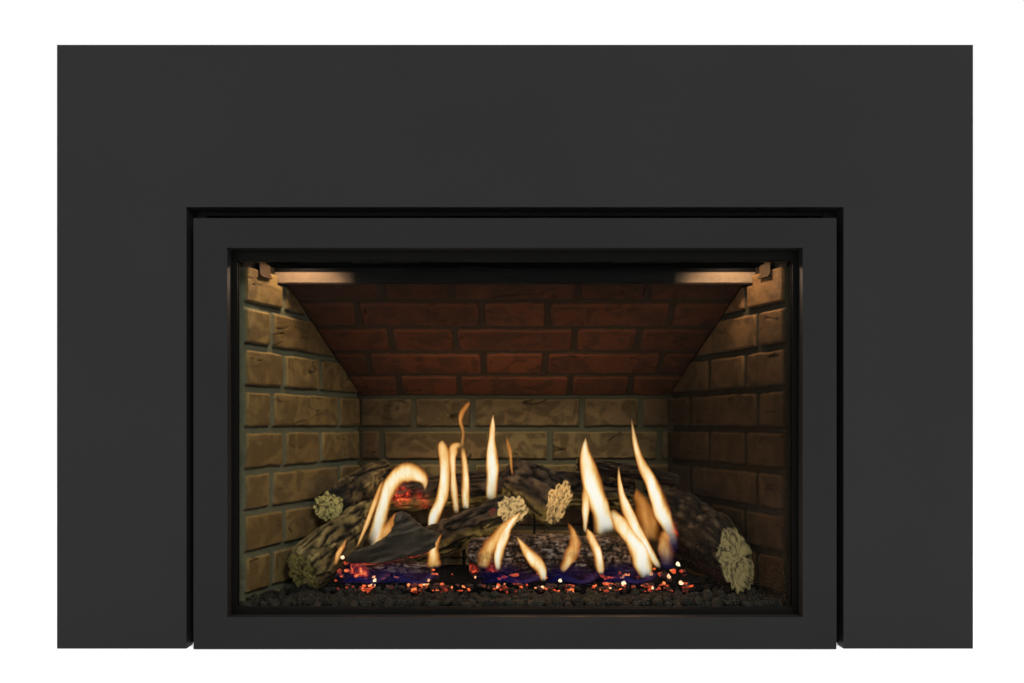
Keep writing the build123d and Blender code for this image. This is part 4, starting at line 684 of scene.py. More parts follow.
def side_bond(across, up):
    """The side panels' bricks: lengths run back from the panel's front edge."""
    course = math.floor((up - JOINT_LEVEL) / COURSE)
    ends = (-JOINT / 2 + 1.5, *SIDE_JOINTS[course % 2], SIDE_LENGTH + JOINT / 2)
    index = sum(across > end for end in ends[1:-1])
    left, right = ends[index], ends[index + 1]
    level = JOINT_LEVEL + course * COURSE + COURSE / 2
    return (left + right) / 2, level, (right - left - JOINT) / 2, 60 * course + index


print("a stretcher and a header with their joints:", STRETCHER + HEADER + 2 * JOINT)

# %% Relief of a moulded face
BRICK_PROUD = 5.2
CORNER = 3.2             # rounding of a brick's corners
EDGE = 1.9               # width of the slope round a brick
SHADE_REACH = 3.4        # how far the painted shade reaches below a brick
HIGHLIGHT_REACH = 2.6          # how wide the painted highlight along a brick's upper edges is
brick_moods = {}


def mood(seed, number):
    """What one brick has of its own: its tone, its lift and its tilt both ways."""
    if (seed, number) not in brick_moods:
        rng = random.Random(1000 * seed + number)
        brick_moods[seed, number] = (rng.random(), rng.uniform(-0.9, 0.9),
                                     rng.uniform(-0.010, 0.010), rng.uniform(-0.03, 0.03))
    return brick_moods[seed, number]


def brick_relief(across, up, bond, seed, inside):
    """Height of the face in millimetres, then its brick, tone, crease, shade and top highlight."""
    broad = Vector((across / 34, up / 34, seed))
    close = Vector((across / 7, up / 7, seed + 7))
    bent_across = across + 1.5 * noise.noise(broad) + 0.8 * noise.noise(close)
    bent_up = up + 1.3 * noise.noise(broad + Vector((5, 5, 5))) + 0.7 * noise.noise(-close)
    middle, level, half, number = bond(bent_across, bent_up)
    tone, lift, tilt_across, tilt_up = mood(seed, number)
    over = abs(bent_across - middle) - half + CORNER
    above = abs(bent_up - level) - BRICK_HIGH / 2 + CORNER
    outside = math.hypot(max(over, 0), max(above, 0)) + min(max(over, above), 0) - CORNER
    whole = smooth(inside, 0.5, 3.0)
    brick = smooth(-outside, -0.3, EDGE) * whole
    # painted shade in the mortar just under each brick
    below = level - BRICK_HIGH / 2 - bent_up
    shade = smooth(below, -1.6, 0.4) * (1 - smooth(below, SHADE_REACH * 0.4, SHADE_REACH))
    shade *= 1 - smooth(over, CORNER - 1.5, CORNER + 1.5)
    # painted highlight: marks the upper edges of each brick
    top_highlight = (1 - smooth(-outside, EDGE, EDGE + HIGHLIGHT_REACH)) * brick
    top_highlight *= smooth(bent_up - level, -8, BRICK_HIGH / 2)
    lean = tilt_across * (across - middle) + tilt_up * (up - level)
    lumps = noise.fractal(Vector((across / 19, up / 19, seed + 3)), 0.9, 2.1, 3)
    fold = abs(noise.noise(Vector((across / 40, up / 11, seed + 11 + tone))))
    crease = (1 - smooth(fold, 0.01, 0.07)) * brick
    crease *= smooth(noise.noise(Vector((across / 44, up / 30, seed + 20))), 0.22, 0.34)
    height = brick * (BRICK_PROUD + lift + lean) + 0.7 * lumps - 2.2 * crease
    height += 0.3 * noise.noise(close * 2.3)
    return height, brick, 0.15 + 0.85 * tone, crease, shade * whole, top_highlight


print("face of a brick stands", BRICK_PROUD, "mm proud")

# %% Panel builder
PANEL_THICK = 14.0
BRICK_WORDS = ("brick", "tone", "crease", "shade", "top_highlight")
PANEL_PITCH = 1.5


def cut_notch(bm, origin, axes, notch):
    """Takes away what lies beyond both an across and an up distance."""
    whole = bm.verts[:] + bm.edges[:] + bm.faces[:]
    for way, distance in zip(axes, notch):
        bmesh.ops.bisect_plane(bm, geom=whole, plane_co=origin + way * distance * MM,
                               plane_no=way)
        whole = bm.verts[:] + bm.edges[:] + bm.faces[:]
    beyond = []
    for face in bm.faces:
        offset = face.calc_center_median() - origin
        if all(offset.dot(way) > distance * MM for way, distance in zip(axes, notch)):
            beyond.append(face)
    bmesh.ops.delete(bm, geom=beyond, context="FACES")


def brick_panel(name, origin, axes, reach, bond, seed, inside, cuts, finish, notch=None):
    """A moulded panel. Axes are its across, up and outward directions, and reach is the
    grid's left, right, low and high. Cuts are planes, and what lies beyond them goes."""
    across_way, up_way, out_way = axes
    left, right, low, high = reach
    bm = bmesh.new()
    bmesh.ops.create_grid(bm, x_segments=round((right - left) / PANEL_PITCH),
                          y_segments=round((high - low) / PANEL_PITCH), size=0.5)
    layers = [bm.verts.layers.float.new(word) for word in BRICK_WORDS]
    for vert in bm.verts:
        across = left + (vert.co.x + 0.5) * (right - left)
        up = low + (vert.co.y + 0.5) * (high - low)
        height, *marks = brick_relief(across, up, bond, seed, inside(across, up))
        for layer, mark in zip(layers, marks):
            vert[layer] = mark
        vert.co = origin + (across_way * across + up_way * up + out_way * height) * MM
    for point, outward in cuts:
        bmesh.ops.bisect_plane(bm, geom=bm.verts[:] + bm.edges[:] + bm.faces[:],
                               plane_co=point, plane_no=outward, clear_outer=True)
    if notch:
        cut_notch(bm, origin, axes, notch)
    rim = [edge for edge in bm.edges if edge.is_boundary]
    drawn = bmesh.ops.extrude_edge_only(bm, edges=rim)["geom"]
    for vert in drawn:
        if isinstance(vert, bmesh.types.BMVert):
            rise = (vert.co - origin).dot(out_way)
            vert.co -= out_way * (rise + PANEL_THICK * MM)
    close_ends(bm)
    return piece(name, bm, finish, [name])


LINER_FRONT = 45.0       # depth of the side panels' front edge
LINER_BACK = 327.0
LINER_FRONT_HALF = 347.0
LINER_BACK_HALF = 252.0
SLOPE = math.radians(37.05)
SLOPE_FOOT = 322.0
SLOPE_LENGTH = 252.3
PANEL_LOW = 41.0
SIDE_TOP = 486.0
BAR_NOTCH = (66.5, 465.0)        # where the retainer bar crosses a side panel
slope_out = Vector((0, -math.sin(SLOPE), -math.cos(SLOPE)))
slope_up = Vector((0, -math.cos(SLOPE), math.sin(SLOPE)))
slope_foot = place(0, LINER_BACK, SLOPE_FOOT)
print("slope rises over", round(SLOPE_LENGTH * math.sin(SLOPE)), "mm")

# %% Rear and upper panels
UP = Vector((0, 0, 1))
RIGHT = Vector((1, 0, 0))
FORWARD = Vector((0, -1, 0))
REAR_HALF = 262.0
LINER_SPREAD = (LINER_FRONT_HALF - LINER_BACK_HALF) / (LINER_BACK - LINER_FRONT)


def liner_half(depth):
    """Half width between the side panels' mortar faces at a depth."""
    return LINER_FRONT_HALF - LINER_SPREAD * (max(depth, LINER_FRONT) - LINER_FRONT)


def inside_rear(across, up):
    return LINER_BACK_HALF - 1 - abs(across)


def upper_half(up):
    """Half width between the side panels at a length up the slope."""
    return LINER_BACK_HALF + LINER_SPREAD * up * math.cos(SLOPE)


def inside_upper(across, up):
    return min(upper_half(up) - 2 - abs(across), SLOPE_LENGTH - 2 - up)


brick_panel("brick_panel_rear", place(0, LINER_BACK, 0), (RIGHT, UP, FORWARD),
            (-REAR_HALF, REAR_HALF, PANEL_LOW, SLOPE_FOOT - 0.6),
            flemish((20.0, 146.0), JOINT_LEVEL + JOINT / 2), 3, inside_rear, (),
            rear_brick)
UPPER_REACH = upper_half(SLOPE_LENGTH) + 9
foot_corner = Vector((upper_half(0) + 9, 0))
head_corner = Vector((UPPER_REACH, SLOPE_LENGTH))
upper_cuts = []
for side in (-1, 1):
    edge_way = RIGHT * side * (head_corner.x - foot_corner.x) + slope_up * SLOPE_LENGTH
    corner = slope_foot + RIGHT * side * foot_corner.x * MM
    upper_cuts.append((corner, edge_way.cross(slope_out) * side))
brick_panel("brick_panel_upper", slope_foot, (RIGHT, slope_up, slope_out),
            (-UPPER_REACH, UPPER_REACH, 0.0, SLOPE_LENGTH),
            flemish((0.0, 136.0), JOINT / 2), 4, inside_upper, upper_cuts,
            upper_brick)

# %% Side panels
def side_panel(name, side, seed, finish):
    """Left panel for side -1, right panel for side 1."""
    run = Vector((LINER_FRONT_HALF - LINER_BACK_HALF, LINER_BACK - LINER_FRONT, 0)).normalized()
    back_way = Vector((-side * run.x, run.y, 0))
    out_way = Vector((-side * run.y, -run.x, 0))
    origin = place(side * LINER_FRONT_HALF, LINER_FRONT, 0)
    slope_cut = (slope_foot + slope_out * 0.6 * MM, -slope_out)

    def inside_side(across, up):
        here = origin + (back_way * across + UP * up) * MM
        under_slope = (here - slope_foot).dot(slope_out) / MM - 1.5
        top = SIDE_TOP if across < BAR_NOTCH[0] else BAR_NOTCH[1]
        return min(under_slope, top - up - 1, up - PANEL_LOW, across + 3)

    brick_panel(name, origin, (back_way, UP, out_way),
                (0.0, SIDE_LENGTH - 5, PANEL_LOW, SIDE_TOP), side_bond, seed,
                inside_side, (slope_cut,), finish, BAR_NOTCH)


side_panel("brick_panel_left", -1, 1, side_brick)
side_panel("brick_panel_right", 1, 2, shaded_right_brick)

# %% [markdown]
# ## Clip tabs
#
# Each clip ends in a tab of bent steel that bears on the bricks just in front of the bar.
# Its section is drawn once as a bent line, pushed back along the panel, and then given
# the thickness of the sheet.

# %% Clip tabs
TAB_BEND = ((6.5, 485.2), (1.4, 485.2), (0.0, 483.6), (0.0, 470.5), (-1.4, 468.0), (-2.6, 467.4))
TAB_FRONT = 66.0         # depth of a tab's front edge
TAB_LONG = 22.0
TAB_PROUD = 7.6          # how far a tab stands off the panel
TAB_SHEET = 1.3


def clip_tab(name, side):
    """A tab for the left panel with side -1, for the right panel with side 1."""
    bm = bmesh.new()
    columns = []
    for share in (0.0, 0.06, 0.5, 0.94, 1.0):
        depth = TAB_FRONT + TAB_LONG * share
        wall = liner_half(depth) - TAB_PROUD
        trim = 0.9 if share in (0.0, 1.0) else 0.0
        heights = [(out, height + trim * (-1 if height > 476 else 1)) for out, height in TAB_BEND]
        columns.append([bm.verts.new(place(side * (wall + out), depth, height))
                        for out, height in heights])
    for before, after in zip(columns, columns[1:]):
        for low in range(len(TAB_BEND) - 1):
            bm.faces.new((before[low], before[low + 1], after[low + 1], after[low]))
    bmesh.ops.recalc_face_normals(bm, faces=bm.faces[:])
    bmesh.ops.solidify(bm, geom=bm.faces[:], thickness=TAB_SHEET * MM)
    bmesh.ops.bevel(bm, geom=[edge for edge in bm.edges if edge.calc_face_angle(0) > 0.9],
                    offset=0.35 * MM, segments=2, profile=0.5, affect="EDGES", material=-1)
    close_ends(bm)
    return piece(name, bm, tan_clip)


clip_tab("clip_tab_left", -1)
clip_tab("clip_tab_right", 1)

# %% [markdown]
# ## Logs from rings
#
# Each log starts as a circle that is extruded from station to station along a curve, the
# way a potter pulls a coil. The circle's points remember their angle in an attribute,
# which every extruded copy inherits, so each new ring can be placed by angle and length.
# Bark comes from stretched noise: where the noise crosses nought a wandering line appears,
# and points near that line sink into a fissure. The first and last stations shrink towards
# the middle and make the broken ends, where cells of fibre stand between cracks.

# %% Rings that can be pulled on
def first_ring(bm, sides, angle_layer):
    """A circle whose points remember their angle. Gives its points and its edges."""
    circle = bmesh.ops.create_circle(bm, segments=sides, radius=1)["verts"]
    ring = set(circle)
    for vert in circle:
        vert[angle_layer] = math.atan2(vert.co.y, vert.co.x)
    return circle, [edge for edge in bm.edges if all(vert in ring for vert in edge.verts)]


def next_ring(bm, edges):
    """Extrudes a ring of edges. Gives the new ring's points and its edges."""
    drawn = bmesh.ops.extrude_edge_only(bm, edges=edges)["geom"]
    verts = [part for part in drawn if isinstance(part, bmesh.types.BMVert)]
    fresh = set(verts)
    return verts, [part for part in drawn if isinstance(part, bmesh.types.BMEdge)
                   and all(vert in fresh for vert in part.verts)]


print("ring helpers ready")

# %% The log builder
LOG_SIDES = 84
LOG_STEP = 1.9           # millimetres between two rings of bark
END_SHARES = (0.04, 0.13, 0.22, 0.31, 0.40, 0.49, 0.58, 0.67, 0.76, 0.84, 0.91, 0.97)


def log_ring(rings, share):
    """Centre and radius on the smooth curve through three rings of X, depth, Z, radius."""
    weights = (2 * (share - 0.5) * (share - 1), -4 * share * (share - 1),
               2 * share * (share - 0.5))
    across, depth, height, radius = (
        sum(weight * ring[part] for weight, ring in zip(weights, rings)) for part in range(4))
    return place(across, depth, height), radius


def wander(value, width):
    """1 where a noise crosses nought, which draws a wandering line, and 0 away from it."""
    return 1 - smooth(abs(value), 0.0, width)


def bark_relief(angle, along, radius, seed, grain):
    """Relief in millimetres, crack and highness of bark whose ridges run along the log."""
    wide, long, deep = grain
    east, north = math.cos(angle) * radius, math.sin(angle) * radius
    plates = Vector((east / wide, north / wide, along / long + 10 * seed))
    plates += 0.3 * noise.noise_vector(plates * 1.7)
    fissure = wander(noise.noise(plates), 0.20)
    steps = Vector((east / (1.5 * wide), north / (1.5 * wide), along / (1.1 * wide) + seed))
    broken = wander(noise.noise(steps + 0.4 * noise.noise_vector(steps)), 0.13)
    broken *= smooth(noise.noise(plates * 0.5 + UP * 3), -0.15, 0.2)
    crack = max(fissure, 0.8 * broken)
    fibre = noise.noise(Vector((east / 2.4, north / 2.4, along / 22 + seed)))
    knobs = noise.fractal(Vector((east / 8, north / 8, along / 14 + seed)), 0.9, 2.1, 3)
    relief = 1.5 * knobs + 0.9 * fibre - deep * crack
    return relief, smooth(crack, 0.45, 1.0), 0.55 + 0.3 * knobs + 0.35 * fibre - 0.45 * crack


def end_relief(east, north, seed):
    """The same for a broken end: petals of fibre with deep cracks between them."""
    spot = Vector((east / 6.5, north / 6.5, 5 * seed))
    spot += 0.5 * noise.noise_vector(spot * 1.3)
    near, far = noise.voronoi(spot)[0][:2]
    crack = 1 - smooth(far - near, 0.0, 0.13)
    fine = noise.fractal(Vector((east / 2.4, north / 2.4, seed)), 0.8, 2.1, 3)
    relief = 1.5 * (0.6 - near) + 1.0 * fine - 0.9 * crack
    return relief, 0.6 * smooth(crack, 0.4, 1), 0.86 + 0.6 * fine - 0.55 * near - 0.25 * crack


HOT_SPOTS = (            # X, depth, height, radius and heat where the cast pieces glow
    (-174, 262, 163, 23, 0.85), (-143, 262, 158, 21, 0.7), (-222, 104, 82, 16, 1.0),
    (-208, 100, 74, 14, 1.0), (-58, 104, 78, 12, 0.7), (-30, 98, 80, 12, 0.6),
    (-196, 235, 180, 14, 0.6), (-31, 134, 152, 7, 0.7), (224, 148, 126, 16, 0.6),
    (208, 100, 82, 20, 0.6),
)


def hot_here(point):
    """How hot a point glows: 1 at the middle of the hottest spot, 0 away from them all."""
    most = 0.0
    for across, depth, height, reach, heat in HOT_SPOTS:
        distance = (point - place(across, depth, height)).length / MM
        most = max(most, heat * (1 - smooth(distance, 0.25 * reach, reach)))
    return most


LOG_WORDS = ("angle", "high", "crack", "sawn", "under", "glow")


def lay_ring(verts, layers, rings, share, shrink, seed, grain, tall, slants, lean):
    """Puts one ring of points in its place on the log, with bark or broken-end relief."""
    centre, radius = log_ring(rings, share)
    ahead = log_ring(rings, share + 0.01)[0] - log_ring(rings, share - 0.01)[0]
    ahead.normalize()
    side_way = ahead.cross(UP).normalized()
    up_way = side_way.cross(ahead)
    length = (Vector(rings[2][:3]) - Vector(rings[0][:3])).length
    from_end = min(share, 1 - share) * length
    slant = slants[0] * (1 - smooth(share, 0, 0.4)) + slants[1] * smooth(share, 0.6, 1)
    sawn = shrink < 1
    way = 1 if share > 0.5 else -1
    for vert in verts:
        angle = vert[layers["angle"]]
        spot = Vector((math.cos(angle) * 1.3, math.sin(angle) * 1.3, share * length / 34 + seed))
        swell = 1 + 0.12 * noise.noise(spot) + 0.06 * noise.noise(spot * 3)
        ragged = 2.6 * noise.noise(spot * 2.1) * (1 - smooth(from_end, 0, 14)) * way
        relief, crack, high = bark_relief(angle, share * length, radius, seed, grain)
        reach = (radius * swell + relief) * (1 - 0.10 * (1 - smooth(from_end, 0, 5)))
        if sawn:
            reach *= shrink
            relief, crack, high = end_relief(math.cos(angle) * reach,
                                             math.sin(angle) * reach, seed)
            ragged = ragged * shrink + relief * way * smooth(1 - shrink, 0.0, 0.10)
        side = math.cos(angle) * reach
        rise = math.sin(angle) * reach * tall
        offset = side_way * side + up_way * rise
        offset += ahead * (slant * side + ragged + lean * rise * (1 - smooth(share, 0, 0.4)))
        vert.co = centre + offset * MM
        around = offset.normalized()
        vert[layers["high"]] = high
        vert[layers["crack"]] = crack
        vert[layers["sawn"]] = float(sawn)
        vert[layers["under"]] = smooth(-around.z - 0.25 * around.y, 0.15, 0.7)
        vert[layers["glow"]] = hot_here(vert.co)


def cast_log(name, rings, seed, finish, grain=(9.0, 60.0, 3.4), tall=1.0,
             slants=(0.0, 0.0), lean=0.0):
    """A cast log through three rings. Grain is how wide, long and deep its plates are.
    Slants turn the two ends sideways and lean tips the first one, in millimetres along
    the log for each one across it."""
    bm = bmesh.new()
    layers = {word: bm.verts.layers.float.new(word) for word in LOG_WORDS}
    verts, edges = first_ring(bm, LOG_SIDES, layers["angle"])
    length = (Vector(rings[2][:3]) - Vector(rings[0][:3])).length
    steps = round(length / LOG_STEP)
    stations = [(0.0, shrink) for shrink in END_SHARES]
    stations += [(step / steps, 1.0) for step in range(steps + 1)]
    stations += [(1.0, shrink) for shrink in reversed(END_SHARES)]
    for order, (share, shrink) in enumerate(stations):
        if order:
            verts, edges = next_ring(bm, edges)
        lay_ring(verts, layers, rings, share, shrink, seed, grain, tall, slants, lean)
    close_ends(bm)
    return piece(name, bm, finish, [name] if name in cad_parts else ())


cast_log("log_left_front", ((-284, 93, 76, 25), (-244, 150, 108, 26), (-203, 203, 138, 22)),
         21, olive_bark, (8, 55, 3.2), tall=1.4, slants=(0.25, 0.0))
cast_log("log_left_rear", ((-267, 172, 156, 18), (-230, 214, 177, 20), (-192, 250, 196, 19)),
         22, straw_bark, (8, 50, 3.0), tall=1.4, slants=(1.05, 0.0))

cast_log("log_rear", ((-212, 280, 160, 23), (-4, 277, 172, 29), (185, 279, 166, 27)),
         23, dark_bark, (9, 60, 3.2))
cast_log("log_right", ((295, 92, 93, 30), (252, 152, 125, 31), (222, 212, 145, 29)),
         24, split_bark, (10, 90, 4.2), tall=1.35, slants=(-0.4, 0.0), lean=0.7)
cast_log("log_front", ((-62, 122, 92, 25), (60, 121, 95, 28), (182, 126, 90, 24)),
         25, ash_bark, (6, 9, 3.2))
cast_log("log_centre", ((-145, 212, 86, 19), (-74, 174, 121, 20), (-4, 134, 155, 18)),
         26, dark_bark, (9, 70, 2.6), tall=1.3, slants=(0.0, -1.0))
cast_log("log_centre_rear", ((62, 160, 163, 21), (28, 190, 178, 22), (-8, 217, 190, 21)),
         27, dark_bark, (8, 45, 3.0), tall=1.75, slants=(-0.35, 0.0))
cast_log("log_branch", ((93, 232, 214, 10), (168, 236, 204, 11), (245, 238, 188, 10)),
         28, split_bark, (5, 40, 1.6))

# %% [markdown]
# ## The charred fork
#
# In front of the left logs lies a forked, burnt chunk. It is sketched as one flat outline,
# extruded to its thickness and remeshed with small voxels, which rounds it like something
# burnt and gives it an even net of faces. Noise then pushes the net into char.

# %% Charred chunks
CHUNK_OUTLINE = ((-229, 90), (-215, 105), (-193, 108), (-177, 117), (-165, 130), (-160, 151),
                 (-152, 156), (-140, 146), (-119, 132), (-104, 126), (-105, 108),
                 (-119, 101), (-135, 95), (-173, 88), (-223, 86))
CHUNK_DEPTH = 106.0
CHUNK_HALF = 12.0
CHUNK_VOXEL = 1.7
CHUNK_SOFTENING = 5      # rounds of smoothing after the remesh
STICK_RINGS = ((-222, 113, 76, 11), (-168, 112, 76, 12), (-114, 113, 75, 11))


def char_relief(bm, seed):
    """Pushes every point along its normal, and marks height, cracks and glow."""
    layers = {word: bm.verts.layers.float.new(word) for word in LOG_WORDS}
    bm.normal_update()
    for vert in bm.verts:
        spot = vert.co / MM
        grain = Vector((spot.x / 34, spot.y / 10, (spot.z - 0.3 * spot.x) / 6))
        grain += 0.3 * noise.noise_vector(grain)
        crack = wander(noise.noise(grain), 0.07) * smooth(noise.noise(grain * 0.4), 0.0, 0.2)
        body = noise.fractal(grain + UP * seed, 0.9, 2.1, 3)
        vert[layers["crack"]] = crack
        vert[layers["high"]] = 0.5 + 0.5 * body
        vert[layers["under"]] = smooth(-vert.normal.z, 0.3, 0.9)
        vert[layers["glow"]] = 0.75 * smooth(-vert.normal.z, 0.55, 0.95)
        swell = noise.noise(spot / 22 + UP * seed)
        vert.co += vert.normal * (2.2 * body + 3.0 * swell - 2.4 * crack) * MM


def charred_fork(name):
    bm = bmesh.new()
    corners = [bm.verts.new(place(x, CHUNK_DEPTH - CHUNK_HALF, z)) for x, z in CHUNK_OUTLINE]
    front = bm.faces.new(corners)
    drawn = bmesh.ops.extrude_face_region(bm, geom=[front])["geom"]
    back = [part for part in drawn if isinstance(part, bmesh.types.BMVert)]
    bmesh.ops.translate(bm, verts=back, vec=Vector((0, 2 * CHUNK_HALF * MM, 0)))
    bmesh.ops.recalc_face_normals(bm, faces=bm.faces[:])
    rough = bpy.data.meshes.new(name + "_sketch")
    bm.to_mesh(rough)
    sketch = bpy.data.objects.new(name + "_sketch", rough)
    bpy.context.scene.collection.objects.link(sketch)
    remesh = sketch.modifiers.new("voxels", "REMESH")
    remesh.mode = "VOXEL"
    remesh.voxel_size = CHUNK_VOXEL * MM
    ready = sketch.evaluated_get(bpy.context.evaluated_depsgraph_get())
    bm.clear()
    bm.from_mesh(ready.to_mesh())
    bpy.data.objects.remove(sketch)
    for _ in range(CHUNK_SOFTENING):
        bmesh.ops.smooth_vert(bm, verts=bm.verts[:], factor=0.5, use_axis_x=True,
                              use_axis_y=True, use_axis_z=True)
    char_relief(bm, 5)
    return piece(name, bm, charred_bark, ["charred_chunks"])


charred_fork("charred_fork")
cast_log("charred_stick", STICK_RINGS, 29, ash_bark, (4.5, 6, 2.2))

# %% [markdown]
# ## Lava rock and embers
#
# Nearly five hundred rocks fill the floor, so each may have only a few faces. A cube cut
# once across each face and pushed to a sphere has 26 points, which noise turns into a
# believable broken lump. One template is appended again and again into a single mesh, and
# every lump gets its own size, stretch and "mark", which is a rock's tone or an ember's heat.

# %% The lump maker
def lump_template():
    """A ball of 24 faces: a cube cut once each way and pushed out to a sphere."""
    bm = bmesh.new()
    bm.verts.layers.float.new("mark")
    bmesh.ops.create_cube(bm, size=1)
    bmesh.ops.subdivide_edges(bm, edges=bm.edges[:], cuts=1, use_grid_fill=True)
    for vert in bm.verts:
        vert.co.normalize()
    mesh = bpy.data.meshes.new("lump_template")
    bm.to_mesh(mesh)
    bm.free()
    return mesh


LUMP = lump_template()


def add_lump(bm, centre, size, rng, mark, roughness, longest=1.2):
    """Appends one lump of size millimetres, out of round, marked with its tone or heat."""
    start = len(bm.verts)
    bm.from_mesh(LUMP)
    bm.verts.ensure_lookup_table()
    layer = bm.verts.layers.float["mark"]
    stretch = [rng.uniform(0.75, longest), rng.uniform(0.75, 1.2), rng.uniform(0.7, 1.1)]
    shift = Vector([rng.uniform(-50, 50) for _ in range(3)])
    turn = rng.uniform(0, math.tau)
    for vert in bm.verts[start:]:
        rough = 1 + roughness * noise.noise(vert.co * 1.4 + shift) * 2
        x, y, z = (part * grow * rough for part, grow in zip(vert.co, stretch))
        turned = Vector((x * math.cos(turn) - y * math.sin(turn),
                         x * math.sin(turn) + y * math.cos(turn), z))
        vert.co = centre + turned * size * MM
        vert[layer] = mark


print("a lump has", len(LUMP.polygons), "faces")

# %% A floor of lava rock
ROCK_ROWS = 6
ROCK_FRONT = 36.0        # depth of the first row
ROCK_STEP = 10.2
ROCK_PITCH = 13.5
ROCK_LEVEL = 44.5
ROCK_SIZES = (6.0, 9.4)
CREST_DEPTH = 90.5       # rocks heaped against the burner pan, among the front embers
CREST_PITCH = 11.0
CREST_LEVEL = 51.0
CREST_SIZES = (3.6, 5.2)
SIDE_ROCKS = 70          # rocks strewn at each side of the pan
SIDE_BACK = 175.0
SIDE_LEVEL = 46.0
SIDE_SIZES = (6.0, 8.8)
PAN_HALF = 250.0         # burner pan: half width, depth of its front, height of its top
PAN_FRONT = 95.0
PAN_TOP = 62.0


def drop_rock(bm, rng, centre, sizes, roughness=0.38):
    """Adds one rock. Dark tones are the more common."""
    add_lump(bm, centre, rng.uniform(*sizes), rng, rng.random() ** 1.5, roughness)


def lava_bed(name):
    """Rows of rock before the burner pan, a crest against it and a heap at each side."""
    rng = random.Random(5)
    bm = bmesh.new()
    for row in range(ROCK_ROWS):
        depth = ROCK_FRONT + ROCK_STEP * row
        reach = liner_half(depth) - 8
        across = -reach
        while across < reach:
            height = ROCK_LEVEL + rng.uniform(-2.5, 3.0)
            drop_rock(bm, rng, place(across, depth + rng.uniform(-3, 3), height), ROCK_SIZES)
            across += ROCK_PITCH * rng.uniform(0.75, 1.15)
    across = -PAN_HALF
    while across < PAN_HALF:
        if noise.noise(Vector((across / 17, 3.0, 0))) > -0.12:
            depth = CREST_DEPTH + rng.uniform(-1.5, 1.5)
            drop_rock(bm, rng, place(across, depth, CREST_LEVEL + rng.uniform(0, 7)),
                      CREST_SIZES)
        across += CREST_PITCH * rng.uniform(0.7, 1.3)
    for side in (-1, 1):
        for _ in range(SIDE_ROCKS):
            depth = rng.uniform(PAN_FRONT, SIDE_BACK)
            across = side * rng.uniform(PAN_HALF + 9, liner_half(depth) - 9)
            drop_rock(bm, rng, place(across, depth, SIDE_LEVEL + rng.uniform(0, 5)),
                      SIDE_SIZES, 0.46)
    print("rocks", len(bm.faces) // len(LUMP.polygons))
    return piece(name, bm, lava_rock, ["lava_rocks"])


lava_bed("lava_bed")

# %% Embers
EMBER_HEAPS = (          # X, depth, height, size and heat of the brightest embers
    (219, 100, 86, 3.8, 1.15), (213, 97, 76, 3.4, 0.6), (224, 102, 76, 3.6, 0.5),
    (206, 96, 70, 3.0, 0.95), (222, 93, 62, 2.8, 1.0), (199, 91, 62, 2.4, 0.8),
    (60, 89, 66, 2.6, 1.1), (145, 89, 62, 2.8, 1.1), (127, 89, 56, 2.0, 0.9),
    (183, 89, 56, 2.0, 1.0), (-232, 100, 95, 2.8, 1.1), (-228, 102, 87, 3.4, 0.5),
    (-187, 90, 66, 2.8, 1.1), (-53, 91, 70, 1.8, 0.9), (-84, 88, 57, 2.2, 0.8),
    (-23, 88, 58, 2.2, 1.0), (37, 88, 57, 2.0, 0.9), (-236, 99, 76, 3.8, 0.45),
)
EMBER_TRIES = 680        # places to put an ember, of which noise leaves some empty
EMBER_FRONT = 84.0       # depths between which the loose embers lie
EMBER_BACK = 150.0
EMBER_LOW = 50.0         # height of their bed before the pan


def ember_bed(name):
    """Listed embers first, then loose ones strewn before the pan and on top of it."""
    rng = random.Random(8)
    bm = bmesh.new()
    for across, depth, height, size, hot in EMBER_HEAPS:
        add_lump(bm, place(across, depth, height), size, rng, hot, 0.45)
    for _ in range(EMBER_TRIES):
        across = rng.uniform(-PAN_HALF + 6, PAN_HALF - 12)
        depth = rng.choice((rng.uniform(EMBER_FRONT, PAN_FRONT),
                            rng.uniform(PAN_FRONT, EMBER_BACK)))
        if noise.noise(Vector((across / 21, 0, depth / 30))) < -0.06:
            continue
        low = EMBER_LOW if depth < PAN_FRONT else PAN_TOP
        hot = rng.choice((0.1, 0.1, 0.2, 0.3, 0.45, 0.6, 0.75)) * rng.uniform(0.8, 1.2)
        add_lump(bm, place(across, depth, low + rng.uniform(1.0, 11.0)),
                 rng.uniform(1.1, 2.5), rng, hot, 0.55, longest=3.2)
    return piece(name, bm, ember_wool)


ember_bed("ember_bed")

# %% [markdown]
# ## Flames
#
# A photograph freezes each flame as a smooth tongue: blue and clear at the foot, a nearly
# white core and an orange rim that fades out. Each tongue is pulled like the logs, along a
# curve of given points, with a lens-shaped section. "core" is 1 where the section is
# thickest and 0 along its rim, "foot" is 1 at the foot, and "fade" softens foot and tip.

# %% The flame builder
FLAME_SIDES = 16
FLAME_STEPS = 30
FLAME_DEEP = 0.55        # thickness of a tongue, as a share of its width
FLAME_WIDER = 1.18       # the clear rim lies outside the width that the eye sees
FLAME_WORDS = ("angle", "core", "foot", "fade")


def along_points(points, share):
    """A smooth walk through points of X, height and half width, by share of their count."""
    place_on = share * (len(points) - 1)
    index = min(int(place_on), len(points) - 2)
    part = place_on - index
    before = points[max(index - 1, 0)]
    after = points[min(index + 2, len(points) - 1)]
    result = []
    for p0, p1, p2, p3 in zip(before, points[index], points[index + 1], after):
        result.append(0.5 * (2 * p1 + (p2 - p0) * part
                             + (2 * p0 - 5 * p1 + 4 * p2 - p3) * part ** 2
                             + (3 * p1 - p0 - 3 * p2 + p3) * part ** 3))
    return result


